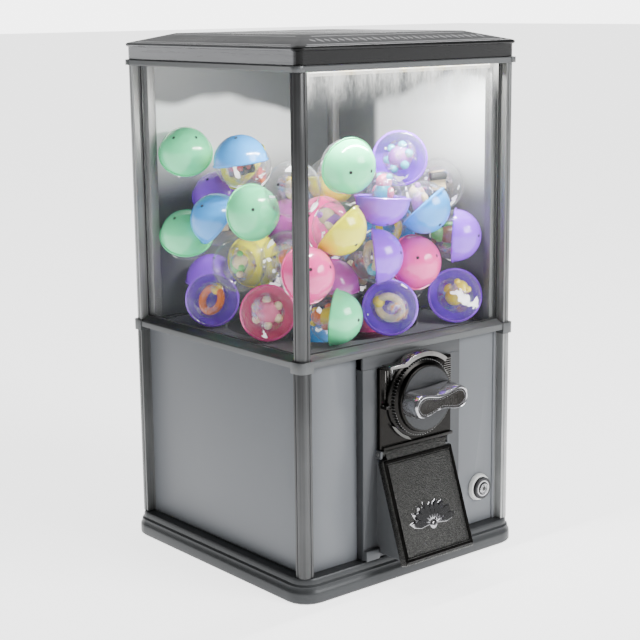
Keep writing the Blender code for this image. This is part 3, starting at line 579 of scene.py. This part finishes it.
def add_prism(builder, outline, low, high, place=None, material=0, inset=0.0):
    """An (x, z) outline extruded along Y; inset shrinks the front towards its middle."""
    place = place or Matrix.Identity(4)
    mid_x = sum(x for x, _ in outline) / len(outline)
    mid_z = sum(z for _, z in outline) / len(outline)
    keep = 1.0 - inset
    front = [(mid_x + (x - mid_x) * keep, low, mid_z + (z - mid_z) * keep) for x, z in outline]
    back = [(x, high, z) for x, z in outline]
    rows = [[builder.verts.new(place @ Vector(p)) for p in row] for row in (front, back)]
    for face in (builder.faces.new(rows[0]), builder.faces.new(rows[1][::-1])):
        face.material_index = material
    add_ring_wall(builder, rows[0], rows[1], material)


def arc(radius, start, end, steps, centre=(0.0, 0.0)):
    angles = [math.radians(start + (end - start) * i / steps) for i in range(steps + 1)]
    return [(centre[0] + radius * math.cos(a), centre[1] + radius * math.sin(a)) for a in angles]


def facing(place, direction):
    """A matrix that stands local +Z along a direction at a place."""
    turn = Vector(direction).normalized().to_track_quat("Z", "Y").to_matrix().to_4x4()
    return Matrix.Translation(place) @ turn


# ---------------------------------------------------------------- capsules
TOY_NAMES = list(TOY_COLOURS)
CAPSULE_SLOTS = ["clear", "hole", "wrapper"] + TOY_NAMES
VIEW_RIGHT = Vector((math.cos(CAMERA_YAW), -math.sin(CAMERA_YAW), 0.0))
VIEW_BACK = Vector((-math.sin(CAMERA_YAW), -math.cos(CAMERA_YAW), 0.25))
UP = Vector((0.0, 0.0, 1.0))
TURNS = {
    "near": VIEW_BACK,
    "far": -VIEW_BACK,
    "up": UP,
    "down": -UP,
    "left": -VIEW_RIGHT,
    "right": VIEW_RIGHT,
    "near_up": UP * 0.8 + VIEW_BACK,
    "near_right": VIEW_RIGHT * 0.7 + VIEW_BACK,
    "near_down": VIEW_RIGHT * 0.45 - UP * 0.55 + VIEW_BACK,
    "up_left": UP * 0.9 - VIEW_RIGHT + VIEW_BACK * 0.4,
    "up_right": UP * 0.9 + VIEW_RIGHT + VIEW_BACK * 0.4,
    "down_left": -UP * 0.9 - VIEW_RIGHT + VIEW_BACK * 0.3,
    "down_right": -UP * 0.9 + VIEW_RIGHT + VIEW_BACK * 0.3,
}
SHELL_STEPS = 28
TOY_DROP = Matrix.Translation((0, 0, -0.0045))


def shell_profile(radius, start, end, steps):
    angles = [math.radians(start + (end - start) * i / steps) for i in range(steps + 1)]
    return [(radius * math.sin(a), radius * math.cos(a)) for a in angles]


def add_capsule(builder, centre, pole, toys, chance):
    """One capsule: a coloured half with a lip and vent holes, a clear half, and a toy."""
    place = facing(centre, pole)
    outer = CAPSULE_R - 0.0014
    inner = outer - 0.0010
    lip = [(CAPSULE_R, 0.0002), (CAPSULE_R, -0.0016), (outer, -0.0028)]
    lip += [(inner, -0.0028), (inner - 0.0008, -0.0006)]
    add_turned(builder, shell_profile(outer, 0, 90, 8) + lip, place, SHELL_STEPS, 0)
    ridge = [(inner, -0.0028), (inner + 0.0003, -0.0040), (inner - 0.0003, -0.0052)]
    add_turned(builder, ridge + shell_profile(inner, 101, 180, 8), place, SHELL_STEPS, 1)
    for side in (-1, 1):
        hole_pole = Vector((side * 0.42, 0.10, 0.90)).normalized()
        spot = place @ facing(hole_pole * (outer - 0.00025), hole_pole)
        add_turned(builder, [(0.0, 0.0004), (0.0017, 0.0004), (0.0020, 0.0)], spot, 10, 2)
    add_toy(builder, place, toys, chance)


def add_blob(builder, place, size, material, squash=(1, 1, 1), steps=12):
    matrix = place @ Matrix.Diagonal((*[size * s for s in squash], 1.0))
    add_turned(builder, shell_profile(1.0, 0, 180, 7), matrix, steps, material)


def add_toy(builder, place, toys, chance):
    """A small figure, a spiked ball, a car or a ring, in two colours."""
    first, second = [CAPSULE_SLOTS.index(name) + 1 for name in toys]
    spin = Matrix.Rotation(chance.uniform(0, 6.28), 4, "Z")
    spin = spin @ Matrix.Rotation(chance.uniform(-0.7, 0.7), 4, "X")
    film = place @ TOY_DROP @ spin
    add_blob(builder, film, 0.0232, 3, (1.0, 0.86, 0.92), 16)
    local = film @ Matrix.Scale(1.14, 4)
    kind = chance.choice(("figure", "ball", "car", "ring", "figure"))
    if kind == "figure":
        add_blob(builder, local, 0.0105, first, (1.0, 0.85, 1.25))
        head = local @ Matrix.Translation((0, 0, -0.0125))
        add_blob(builder, head, 0.0082, second)
        for side in (-1, 1):
            add_blob(builder, head @ Matrix.Translation((side * 0.0068, 0, -0.0050)), 0.0034, first, steps=8)
            arm = local @ Matrix.Translation((side * 0.0105, 0, -0.0020))
            add_blob(builder, arm, 0.0038, second, (1.0, 1.0, 1.7), 8)
    elif kind == "ball":
        add_blob(builder, local, 0.0125, first)
        for i in range(6):
            angle = math.radians(60 * i)
            spot = Matrix.Translation((0.0125 * math.cos(angle), 0.0125 * math.sin(angle), -0.004))
            add_blob(builder, local @ spot, 0.0046, second, steps=8)
    elif kind == "car":
        add_bar(builder, (-0.0150, -0.0075, -0.0045), (0.0150, 0.0075, 0.0045), local, first, 0.001)
        add_bar(builder, (-0.0080, -0.0065, 0.0045), (0.0085, 0.0065, 0.0105), local, second, 0.001)
        for x in (-0.009, 0.009):
            wheel = local @ Matrix.Translation((x, 0, -0.0050)) @ Matrix.Rotation(math.pi / 2, 4, "X")
            rim = [(0, -0.0085), (0.0042, -0.0085), (0.0042, 0.0085), (0, 0.0085)]
            add_turned(builder, rim, wheel, 12, 2)
    else:
        section = arc(0.0040, 0, 360, 8, (0.0125, 0.0))
        add_turned(builder, section, local, 18, first)
        add_blob(builder, local @ Matrix.Translation((0.0125, 0, 0)), 0.0064, second)


# wall, place along it, height, distance behind the wall, colour, pole, toy colours
SHOWN_CAPSULES = [
    ("front", -0.050, 0.442, 0.045, "frost", "far", "orange", "red"),
    ("front", -0.042, 0.416, 0.012, "mint", "near_down", "sun", "red"),
    ("front", 0.060, 0.420, 0.018, "lavender", "far", "violet", "cyan"),
    ("front", 0.114, 0.390, 0.010, "frost", "far", "cream", "rose"),
    ("front", -0.066, 0.384, 0.000, "yellow", "down_right", "violet", "cream"),
    ("front", 0.011, 0.402, 0.000, "lavender", "down", "cyan", "rose"),
    ("front", 0.080, 0.382, 0.006, "sky", "down_right", "violet", "cream"),
    ("front", 0.114, 0.360, 0.000, "lavender", "right", "brown", "leaf"),
    ("front", -0.013, 0.345, 0.000, "lavender", "right", "cream", "cyan"),
    ("front", 0.052, 0.324, 0.004, "pink", "near_right", "leaf", "rose"),
    ("front", -0.112, 0.361, 0.000, "pink", "near_right", "sun", "cream"),
    ("front", -0.081, 0.342, 0.045, "plum", "up", "red", "cream"),
    ("front", -0.052, 0.318, 0.062, "frost", "near", "red", "cream"),
    ("left", 0.114, 0.452, 0.030, "mint", "near_up", "red", "cream"),
    ("left", 0.056, 0.448, 0.040, "yellow", "up_left", "orange", "red"),
    ("left", -0.013, 0.428, 0.012, "sky", "up", "red", "cream"),
    ("left", 0.092, 0.430, 0.034, "lavender", "near_up", "cream", "cyan"),
    ("left", 0.114, 0.398, 0.020, "mint", "near_up", "cream", "cyan"),
    ("left", 0.050, 0.398, 0.004, "sky", "up_left", "cream", "red"),
    ("left", -0.062, 0.372, 0.000, "mint", "near_right", "cream", "cyan"),
    ("left", 0.112, 0.313, 0.020, "lavender", "up", "cream", "violet"),
    ("left", -0.004, 0.345, 0.000, "frost", "far", "leaf", "cream"),
    ("left", 0.010, 0.300, 0.052, "yellow", "near", "cream", "sun"),
    ("left", -0.070, 0.352, 0.000, "frost", "far", "orange", "cream"),
    ("left", -0.106, 0.425, 0.030, "frost", "near", "cream", "sun"),
]
FIXED_CAPSULES = {
    "loose_capsule_front_left": ("mint", "right", "sun", "orange"),
    "loose_capsule_front_middle": ("lavender", "far", "cream", "sun"),
    "loose_capsule_front_right": ("lavender", "far", "sun", "sun"),
    "loose_capsule_left_front": ("pink", "far", "rose", "cream"),
    "loose_capsule_left_back": ("lavender", "far", "orange", "sun"),
    "loose_capsule_back_right": ("sky", "up", "red", "cream"),
}
WHEEL_CAPSULES = {
    "wheel_capsule_1": ("lavender", "up", "red", "cream"),
    "wheel_capsule_2": ("mint", "left", "cyan", "cream"),
    "wheel_capsule_3": ("sky", "up_right", "sun", "red"),
    "wheel_capsule_4": ("pink", "near", "violet", "cream"),
}
POCKET_CIRCLE = middle("wheel_capsule_1").xy.length
POCKET_HEIGHT = middle("wheel_capsule_1").z


SLANT = 1.3


def seen_through(point, depth):
    """Moves a point along the slanted line of sight until it is about that far behind its wall."""
    sight = (point - CAMERA_PLACE).normalized()
    return point + sight * depth * SLANT


def lowest_centre(x, y):
    """How low a loose capsule may lie: on the tray, or over those that the wheel sweeps round."""
    floor = TRAY + CAPSULE_R + 0.0003
    apart = abs(math.hypot(x, y) - POCKET_CIRCLE)
    reach = 2 * CAPSULE_R + 0.0010
    if apart < reach:
        floor = max(floor, POCKET_HEIGHT + math.sqrt(reach**2 - apart**2))
    return floor


def keep_inside(point):
    x = max(-WALL, min(WALL, point.x))
    y = max(-WALL, min(WALL, point.y))
    corner = WALL - 0.0016
    if abs(x) > corner and abs(y) > corner:
        x = math.copysign(corner, x)
        y = math.copysign(corner, y)
    return Vector((x, y, max(point.z, lowest_centre(x, y))))


def settle(places, fixed, rounds=90):
    """Pushes overlapping capsules apart, leaving the first ones, which are fixed, where they are."""
    reach = 2 * CAPSULE_R + 0.0002
    for _ in range(rounds):
        for i, first in enumerate(places):
            for j in range(i + 1, len(places)):
                gap = places[j] - places[i]
                apart = gap.length
                if apart >= reach or j < fixed:
                    continue
                push = gap.normalized() * (reach - apart)
                if i < fixed:
                    places[j] = places[j] + push
                else:
                    places[i] = places[i] - push * 0.5
                    places[j] = places[j] + push * 0.5
        for i in range(fixed, len(places)):
            places[i] = keep_inside(places[i])
    return places


def heap_top(x, y):
    """How high the fillers may lie: less towards the right, and least at the front right."""
    return 0.436 - (0.04 if y > 0 else 0.10) * (x + 0.114)


def filler_places(chance, taken):
    """Loose rows of capsules behind those listed, wherever there is room for one."""
    places = []
    step = 2 * CAPSULE_R * 1.02
    for layer in range(4):
        for i in range(5):
            for j in range(5):
                shift = step / 2 if layer % 2 else 0.0
                x = -WALL + i * step * 0.9 + shift + chance.uniform(-0.006, 0.006)
                y = -WALL + j * step * 0.9 + shift + chance.uniform(-0.006, 0.006)
                if abs(x) > WALL or abs(y) > WALL:
                    continue
                z = lowest_centre(x, y) + layer * step * 0.80
                point = Vector((x, y, z))
                if z > heap_top(x, y):
                    continue
                near = min((point - other).length for other in taken + places)
                if near > CAPSULE_R * 1.75:
                    places.append(point)
    return places


def capsule_heap():
    """Places and looks of the loose capsules, all but those that the CAD already holds."""
    chance = random.Random(11)
    fixed_places = [middle(node) for node in FIXED_CAPSULES]
    shown = []
    for wall, along, height, depth, *_ in SHOWN_CAPSULES:
        point = Vector((along, -WALL, height)) if wall == "front" else Vector((-WALL, along, height))
        shown.append(keep_inside(seen_through(point, depth)))
    filler = filler_places(chance, fixed_places + shown)
    places = settle(fixed_places + shown + filler, len(fixed_places))
    looks = [row[4:] for row in SHOWN_CAPSULES]
    colours = [*SHELL_COLOURS, "frost", "frost"]
    for _ in filler:
        toys = (chance.choice(TOY_NAMES), chance.choice(TOY_NAMES))
        looks.append((chance.choice(colours), chance.choice(list(TURNS)), *toys))
    return places[len(fixed_places):], looks, chance


def capsule_piece(name, members, colour, body, chance):
    """Capsules of one colour as one piece."""
    builder = bmesh.new()
    for place, (_, turn, *toys) in members:
        pole = TURNS[turn] + Vector([chance.uniform(-0.16, 0.16) for _ in range(3)])
        add_capsule(builder, place, pole, toys, chance)
    return piece(name, builder, [colour, *CAPSULE_SLOTS], body)


def capsules():
    places, looks, chance = capsule_heap()
    for colour in [*SHELL_COLOURS, "frost"]:
        members = [(place, look) for place, look in zip(places, looks) if look[0] == colour]
        capsule_piece(f"heap_{colour}", members, colour, "frame", chance)
    for body, group in (("frame", FIXED_CAPSULES), ("wheel", WHEEL_CAPSULES)):
        for node, look in group.items():
            obj = capsule_piece(f"{node}_detail", [(middle(node), look)], look[0], body, chance)
            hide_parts(node)


# ---------------------------------------------------------------- lid and rails
def lid_relief():
    """A bordered band of raised lozenges on the front slope, and plain ribs on the others."""
    low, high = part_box("lid")
    edge, plateau, lip_z = -low.y - 0.0024, 0.1180, low.z + 0.0186
    rise = math.atan2(high.z - lip_z, edge - plateau)
    length = math.hypot(high.z - lip_z, edge - plateau)
    for number, side in enumerate(("front", "right", "back", "left")):
        builder = bmesh.new()
        turn = Matrix.Rotation(math.radians(90 * number), 4, "Z")
        slope = Matrix.Translation((0, -edge, lip_z)) @ Matrix.Rotation(rise - math.pi / 2, 4, "X")
        place = turn @ slope
        thick = 0.0013
        bottom, top = 0.14 * length, 0.86 * length
        for at in (bottom, top):
            half = edge - at * math.cos(rise) - 0.012
            add_bar(builder, (-half, -0.0001, at - 0.0012), (half, thick, at + 0.0012), place)
        count = 26 if side == "front" else 0
        for i in range(count):
            x = (i - (count - 1) / 2) * 0.0098
            centre = (bottom + top) / 2
            tall = 0.0088 if i % 2 else 0.0058
            shape = [(x - 0.0030, centre), (x, centre - tall), (x + 0.0030, centre), (x, centre + tall)]
            add_prism(builder, shape, -0.0001, thick * 1.2, place)
        add_bar(builder, (-edge + 0.012, -0.0003, 0.0004), (edge - 0.012, 0.0004, 0.0014), place)
        piece(f"lid_relief_{side}", builder, ["lid_trim"], "lid")


def rubber_seals():
    """Dark seals where the glass meets the posts and the rails."""
    builder = bmesh.new()
    face = -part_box("front_pane")[0].y
    for quarter in range(4):
        place = Matrix.Rotation(math.radians(90 * quarter), 4, "Z")
        for side in (-1, 1):
            inner, outer = sorted((side * 0.1428, side * 0.1443))
            add_bar(builder, (inner, -face - 0.0010, 0.2752), (outer, -face - 0.00005, 0.5720), place)
        add_bar(builder, (-0.1428, -face - 0.0006, 0.2747), (0.1428, -face - 0.00005, 0.2762), place)
    piece("rubber_seals", builder, ["gasket"], "frame")


def tray_rivets():
    """Small dark rivets along the tray's edge."""
    builder = bmesh.new()
    height = TRAY - 0.0002
    for quarter in range(4):
        turn = Matrix.Rotation(math.radians(90 * quarter), 4, "Z")
        for i in range(9):
            spot = turn @ Matrix.Translation(((i - 4) * 0.029, -0.1385, height))
            add_turned(builder, [(0, 0.0010), (0.0012, 0.0009), (0.0020, 0.0001)], spot, 10)
    piece("tray_rivets", builder, ["hole"], "frame")


# ---------------------------------------------------------------- mechanism
def grip_outline(half_long, waist, lobe, y, steps=40):
    """One ring of the bow-tie handle, its right end a little higher than its left."""
    shoulder, rise = 0.70, 0.0015
    upper, lower = [], []
    for i in range(1, steps):
        s = -math.cos(math.pi * i / steps)
        swell = math.sin(math.pi / 2 * min(abs(s) / shoulder, 1.0)) ** 2
        half = waist + (lobe - waist) * swell
        if abs(s) > shoulder:
            half *= math.sqrt(1 - ((abs(s) - shoulder) / (1 - shoulder)) ** 2)
        lift = rise * math.sin(math.pi / 2 * s)
        upper.append((half_long * s, lift + half))
        lower.append((half_long * s, lift - half))
    points = lower + [(half_long, rise)] + upper[::-1] + [(-half_long, -rise)]
    return [(DIAL.x + x, y, DIAL.z + z) for x, z in points]


def handle_grip():
    """The twist handle: polished flanks with a rolled edge, and a stippled face."""
    low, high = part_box("handle")
    rear, front = high.y, low.y
    half = (high.x - low.x) / 2
    layers = [
        (half - 0.0020, 0.0125, 0.0128, rear),
        (half - 0.0003, 0.0138, 0.0143, rear - 0.0014),
        (half, 0.0124, 0.0142, rear - 0.0060),
        (half - 0.0001, 0.0104, 0.0138, rear - 0.0140),
        (half - 0.0003, 0.0086, 0.0131, rear - 0.0215),
        (half - 0.0009, 0.0078, 0.0124, front + 0.0010),
        (half - 0.0021, 0.0068, 0.0113, front),
        (half - 0.0033, 0.0058, 0.0102, front + 0.0007),
    ]
    builder = bmesh.new()
    rows = [[builder.verts.new(point) for point in grip_outline(*layer)] for layer in layers]
    builder.faces.new(rows[0])
    face = builder.faces.new(rows[-1][::-1])
    face.material_index = 1
    for lower, upper in zip(rows, rows[1:]):
        add_ring_wall(builder, lower, upper)
    bmesh.ops.recalc_face_normals(builder, faces=builder.faces)
    for x, y, z in grip_outline(half - 0.0052, 0.0042, 0.0084, front + 0.0008, 30):
        add_blob(builder, Matrix.Translation((x, y, z)), 0.0005, 0, steps=6)
    obj = piece("handle_grip", builder, ["grip", "stipple"], "handle")
    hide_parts("handle")


def mechanism_detail():
    """Ribs, coin slot, knurling, crescent and disc on the face plate and its cover."""
    ribs = bmesh.new()
    low, high = PLATE_LOW, PLATE_HIGH
    face = PLATE_FACE
    back = face + 0.0001
    for i in range(11):
        x = low.x + 0.0060 + i * 0.0034
        add_bar(ribs, (x, face - 0.0012, 0.2130), (x + 0.0014, back, high.z - 0.0030), taper=0.0003)
    for i in range(13):
        z = 0.2140 + i * 0.0025
        reach = 0.0340 + 0.0010 * abs(i - 2)
        add_bar(ribs, (reach, face - 0.0012, z), (high.x - 0.0015, back, z + 0.0012), taper=0.0003)
    piece("plate_ribs", ribs, ["hood"], "frame")
    slot = bmesh.new()
    add_bar(slot, (-0.0385, face - 0.0014, 0.2120), (-0.0330, back, 0.2455), material=1)
    for x in (-0.0400, -0.0330):
        add_bar(slot, (x, face - 0.0026, 0.2115), (x + 0.0015, back, 0.2460), taper=0.0003)
    piece("coin_slot", slot, ["chrome", "hole"], "frame")
    knurl = bmesh.new()
    for i in range(72):
        turn = Matrix.Translation((DIAL.x, 0, DIAL.z)) @ Matrix.Rotation(math.radians(5 * i), 4, "Y")
        add_bar(knurl, (0.0424, -0.1775, -0.0006), (0.0437, -0.1725, 0.0006), turn, taper=0.0002)
    piece("cover_knurling", knurl, ["steel"], "frame")
    # A raised arc at the dial's lower left and a bar along the plate's foot, in paler metal than the
    # casting: a real step and lip, with a painted highlight.
    rims = bmesh.new()
    stand = Matrix.Translation((DIAL.x, 0, DIAL.z)) @ Matrix.Rotation(math.pi / 2, 4, "X")
    outer = arc(0.0496, 214, 254, 20, (DIAL.x, DIAL.z))
    inner = arc(0.0470, 248, 220, 20, (DIAL.x, DIAL.z))
    add_prism(rims, outer + inner, face - 0.0052, back)
    add_bar(rims, (low.x + 0.0008, -0.1763, 0.2060), (-0.0472, -0.1700, 0.2071))
    piece("plate_crescent_painted_highlight", rims, ["relief"], "frame", 0.0003)
    disc = bmesh.new()
    front = -COVER_FRONT
    profile = [(0.0090, front + 0.0001), (0.0090, front + 0.0007)]
    profile += [(0.0358, front + 0.0007), (0.0364, front)]
    add_turned(disc, profile, stand, 64)
    piece("cover_disc", disc, ["face"], "frame")


# ---------------------------------------------------------------- flap and lock
def flap_detail():
    """A raised border, an inner line and a fan ornament on the flap."""
    low_x, high_x = -0.0530, 0.0530
    top, foot = -0.0085, -0.1240
    face = -0.0060
    border = bmesh.new()
    wide, lift = 0.0036, 0.0008
    left, right = low_x + 0.001, high_x - 0.001
    for z in (top - wide, foot):
        add_bar(border, (left, face - lift, z), (right, face, z + wide), FLAP_FRAME, 0, 0.0008)
    for x in (left, right - wide):
        add_bar(border, (x, face - lift, foot), (x + wide, face, top), FLAP_FRAME, 0, 0.0008)
    piece("flap_border", border, ["casting"], "flap")
    line = bmesh.new()
    near, far = wide + 0.0010, wide + 0.0018
    z_low, z_high = foot + near, top - near
    for x in (low_x + near, high_x - far):
        add_bar(line, (x, face - 0.0007, z_low), (x + 0.0008, face, z_high), FLAP_FRAME)
    for z in (z_low, z_high - 0.0008):
        add_bar(line, (low_x + near, face - 0.0007, z), (high_x - near, face, z + 0.0008), FLAP_FRAME)
    piece("flap_line", line, ["casting"], "flap")
    fan = bmesh.new()
    centre = Vector((0.0, face, -0.0900))
    for i in range(9):
        lean = math.radians(-80 + 20 * i)
        leaf = Matrix.Translation(centre) @ Matrix.Rotation(lean, 4, "Y")
        reach = 0.0250 + 0.0100 * abs(math.sin(lean))
        outline = [(0, 0.0040), (-0.0046, reach * 0.55), (-0.0038, reach * 0.82), (0, reach)]
        outline += [(0.0038, reach * 0.82), (0.0046, reach * 0.55)]
        add_prism(fan, outline, -0.0030, 0.0, FLAP_FRAME @ leaf, inset=0.30)
    boss = FLAP_FRAME @ Matrix.Translation(centre) @ Matrix.Rotation(math.pi / 2, 4, "X")
    add_turned(fan, [(0, 0.0024), (0.0030, 0.0020), (0.0052, 0.0006), (0.0056, 0)], boss, 20)
    piece("flap_ornament", fan, ["chrome"], "flap", 0.0004)


def lock_face():
    """A silver ring, a round key way with its tooth, and the barrel's bright edge."""
    stand = Matrix.Translation((LOCK.x, 0, LOCK.z)) @ Matrix.Rotation(math.pi / 2, 4, "X")
    front = -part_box("lock_barrel")[0].y
    ring = bmesh.new()
    edge = [(0.0050, front - 0.001), (0.0050, front + 0.0006), (0.0058, front + 0.0008), (0.0064, front)]
    add_turned(ring, edge, stand, 40)
    add_turned(ring, [(0.0, front + 0.0001), (0.0026, front + 0.0001)], stand, 24, 1)
    pin = [(0.0026, front), (0.0028, front + 0.0005), (0.0034, front + 0.0005), (0.0036, front)]
    add_turned(ring, pin, stand, 32)
    tooth_low = (LOCK.x - 0.0007, -front - 0.0006, LOCK.z + 0.0030)
    tooth_high = (LOCK.x + 0.0007, -front, LOCK.z + 0.0052)
    add_bar(ring, tooth_low, tooth_high, material=1)
    piece("key_way", ring, ["chrome", "hole"], "lock")
    cap = bmesh.new()
    front = -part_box("lock_body")[0].y
    band = [(0.0074, front - 0.0006), (0.0080, front + 0.0001)]
    band += [(0.0096, front + 0.0001), (0.0100, front - 0.0004)]
    add_turned(cap, band, stand, 40)
    piece("lock_ring", cap, ["chrome"], "cash_door")


# ---------------------------------------------------------------- stage
def area_light(name, place, target, size, power, color=(1, 1, 1)):
    data = bpy.data.lights.new(name, "AREA")
    data.shape = "RECTANGLE"
    data.size, data.size_y = size
    data.energy = power
    data.color = color
    lamp = bpy.data.objects.new(name, data)
    lamp.location = place
    lamp.rotation_euler = (Vector(target) - Vector(place)).to_track_quat("-Z", "Y").to_euler()
    bpy.context.scene.collection.objects.link(lamp)


def floor():
    builder = bmesh.new()
    bmesh.ops.create_grid(builder, x_segments=4, y_segments=4, size=30.0)
    mesh = bpy.data.meshes.new("floor")
    builder.to_mesh(mesh)
    builder.free()
    obj = bpy.data.objects.new("floor", mesh)
    recipe = Recipe("pale_floor")
    cloud = recipe.noise(2.0, 2.0)
    pale = recipe.ramp(cloud, [(0.3, (0.92, 0.92, 0.92)), (0.7, (0.94, 0.94, 0.94))])
    recipe.set(Base_Color=pale, Roughness=0.6)
    recipe.set(Emission_Color=(1.0, 1.0, 1.0, 1.0), Emission_Strength=2.6)
    mesh.materials.append(recipe.material)
    bpy.context.scene.collection.objects.link(obj)
    obj.location.z = -0.0004


def world():
    """Soft studio surroundings, brightest low down behind the machine."""
    scene_world = bpy.data.worlds.new("studio")
    bpy.context.scene.world = scene_world
    scene_world.use_nodes = True
    tree = scene_world.node_tree
    aim = tree.nodes.new("ShaderNodeTexCoord").outputs["Generated"]
    bright_side = tree.nodes.new("ShaderNodeVectorMath")
    bright_side.operation = "DOT_PRODUCT"
    bright_side.inputs[1].default_value = (0.63, 0.77, 0.0)
    tree.links.new(aim, bright_side.inputs[0])
    strength = tree.nodes.new("ShaderNodeMapRange")
    strength.interpolation_type = "SMOOTHSTEP"
    settings = {"From Min": 0.45, "From Max": 0.92, "To Min": 1.5, "To Max": 5.0}
    for name, value in settings.items():
        strength.inputs[name].default_value = value
    tree.links.new(bright_side.outputs["Value"], strength.inputs["Value"])
    height = tree.nodes.new("ShaderNodeSeparateXYZ")
    tree.links.new(aim, height.inputs["Vector"])
    low_band = tree.nodes.new("ShaderNodeMapRange")
    settings = {"From Min": 0.04, "From Max": 0.12, "To Min": 1.0, "To Max": 0.12}
    for name, value in settings.items():
        low_band.inputs[name].default_value = value
    tree.links.new(height.outputs["Z"], low_band.inputs["Value"])
    level = tree.nodes.new("ShaderNodeMath")
    level.operation = "MULTIPLY"
    tree.links.new(strength.outputs["Result"], level.inputs[0])
    tree.links.new(low_band.outputs["Result"], level.inputs[1])
    background = tree.nodes["Background"]
    background.inputs["Color"].default_value = (1.0, 1.0, 1.0, 1.0)
    tree.links.new(level.outputs["Value"], background.inputs["Strength"])


def camera():
    """A camera turned by yaw about the upright, then tipped down by pitch and rolled."""
    yaw, pitch, roll = CAMERA_YAW, CAMERA_PITCH, CAMERA_ROLL
    ahead = Vector((math.sin(yaw) * math.cos(pitch), math.cos(yaw) * math.cos(pitch), -math.sin(pitch)))
    right = Vector((math.cos(yaw), -math.sin(yaw), 0.0))
    down = ahead.cross(right)
    side = right * math.cos(roll) + down * math.sin(roll)
    fall = down * math.cos(roll) - right * math.sin(roll)
    data = bpy.data.cameras.new("camera")
    data.lens = CAMERA_LENS
    data.sensor_width = 36.0
    obj = bpy.data.objects.new("camera", data)
    bpy.context.scene.collection.objects.link(obj)
    turn = Matrix((side, -fall, -ahead)).transposed()
    obj.matrix_world = Matrix.Translation(CAMERA_PLACE) @ turn.to_4x4()
    bpy.context.scene.camera = obj


def studio():
    world()
    floor()
    camera()
    area_light("key", (0.9, -2.6, 1.7), (0, 0, 0.3), (1.6, 1.2), 122)
    area_light("overhead", (0.2, 0.2, 2.4), (0, 0, 0.3), (1.8, 1.8), 14)
    area_light("bar_glow", (0.0, -0.136, 0.566), (0.0, -0.06, 0.30), (0.24, 0.008), 2.9, (1.0, 0.98, 0.94))


def build():
    dress_cad_nodes()
    capsules()
    lid_relief()
    rubber_seals()
    tray_rivets()
    handle_grip()
    mechanism_detail()
    flap_detail()
    lock_face()
    studio()


build()
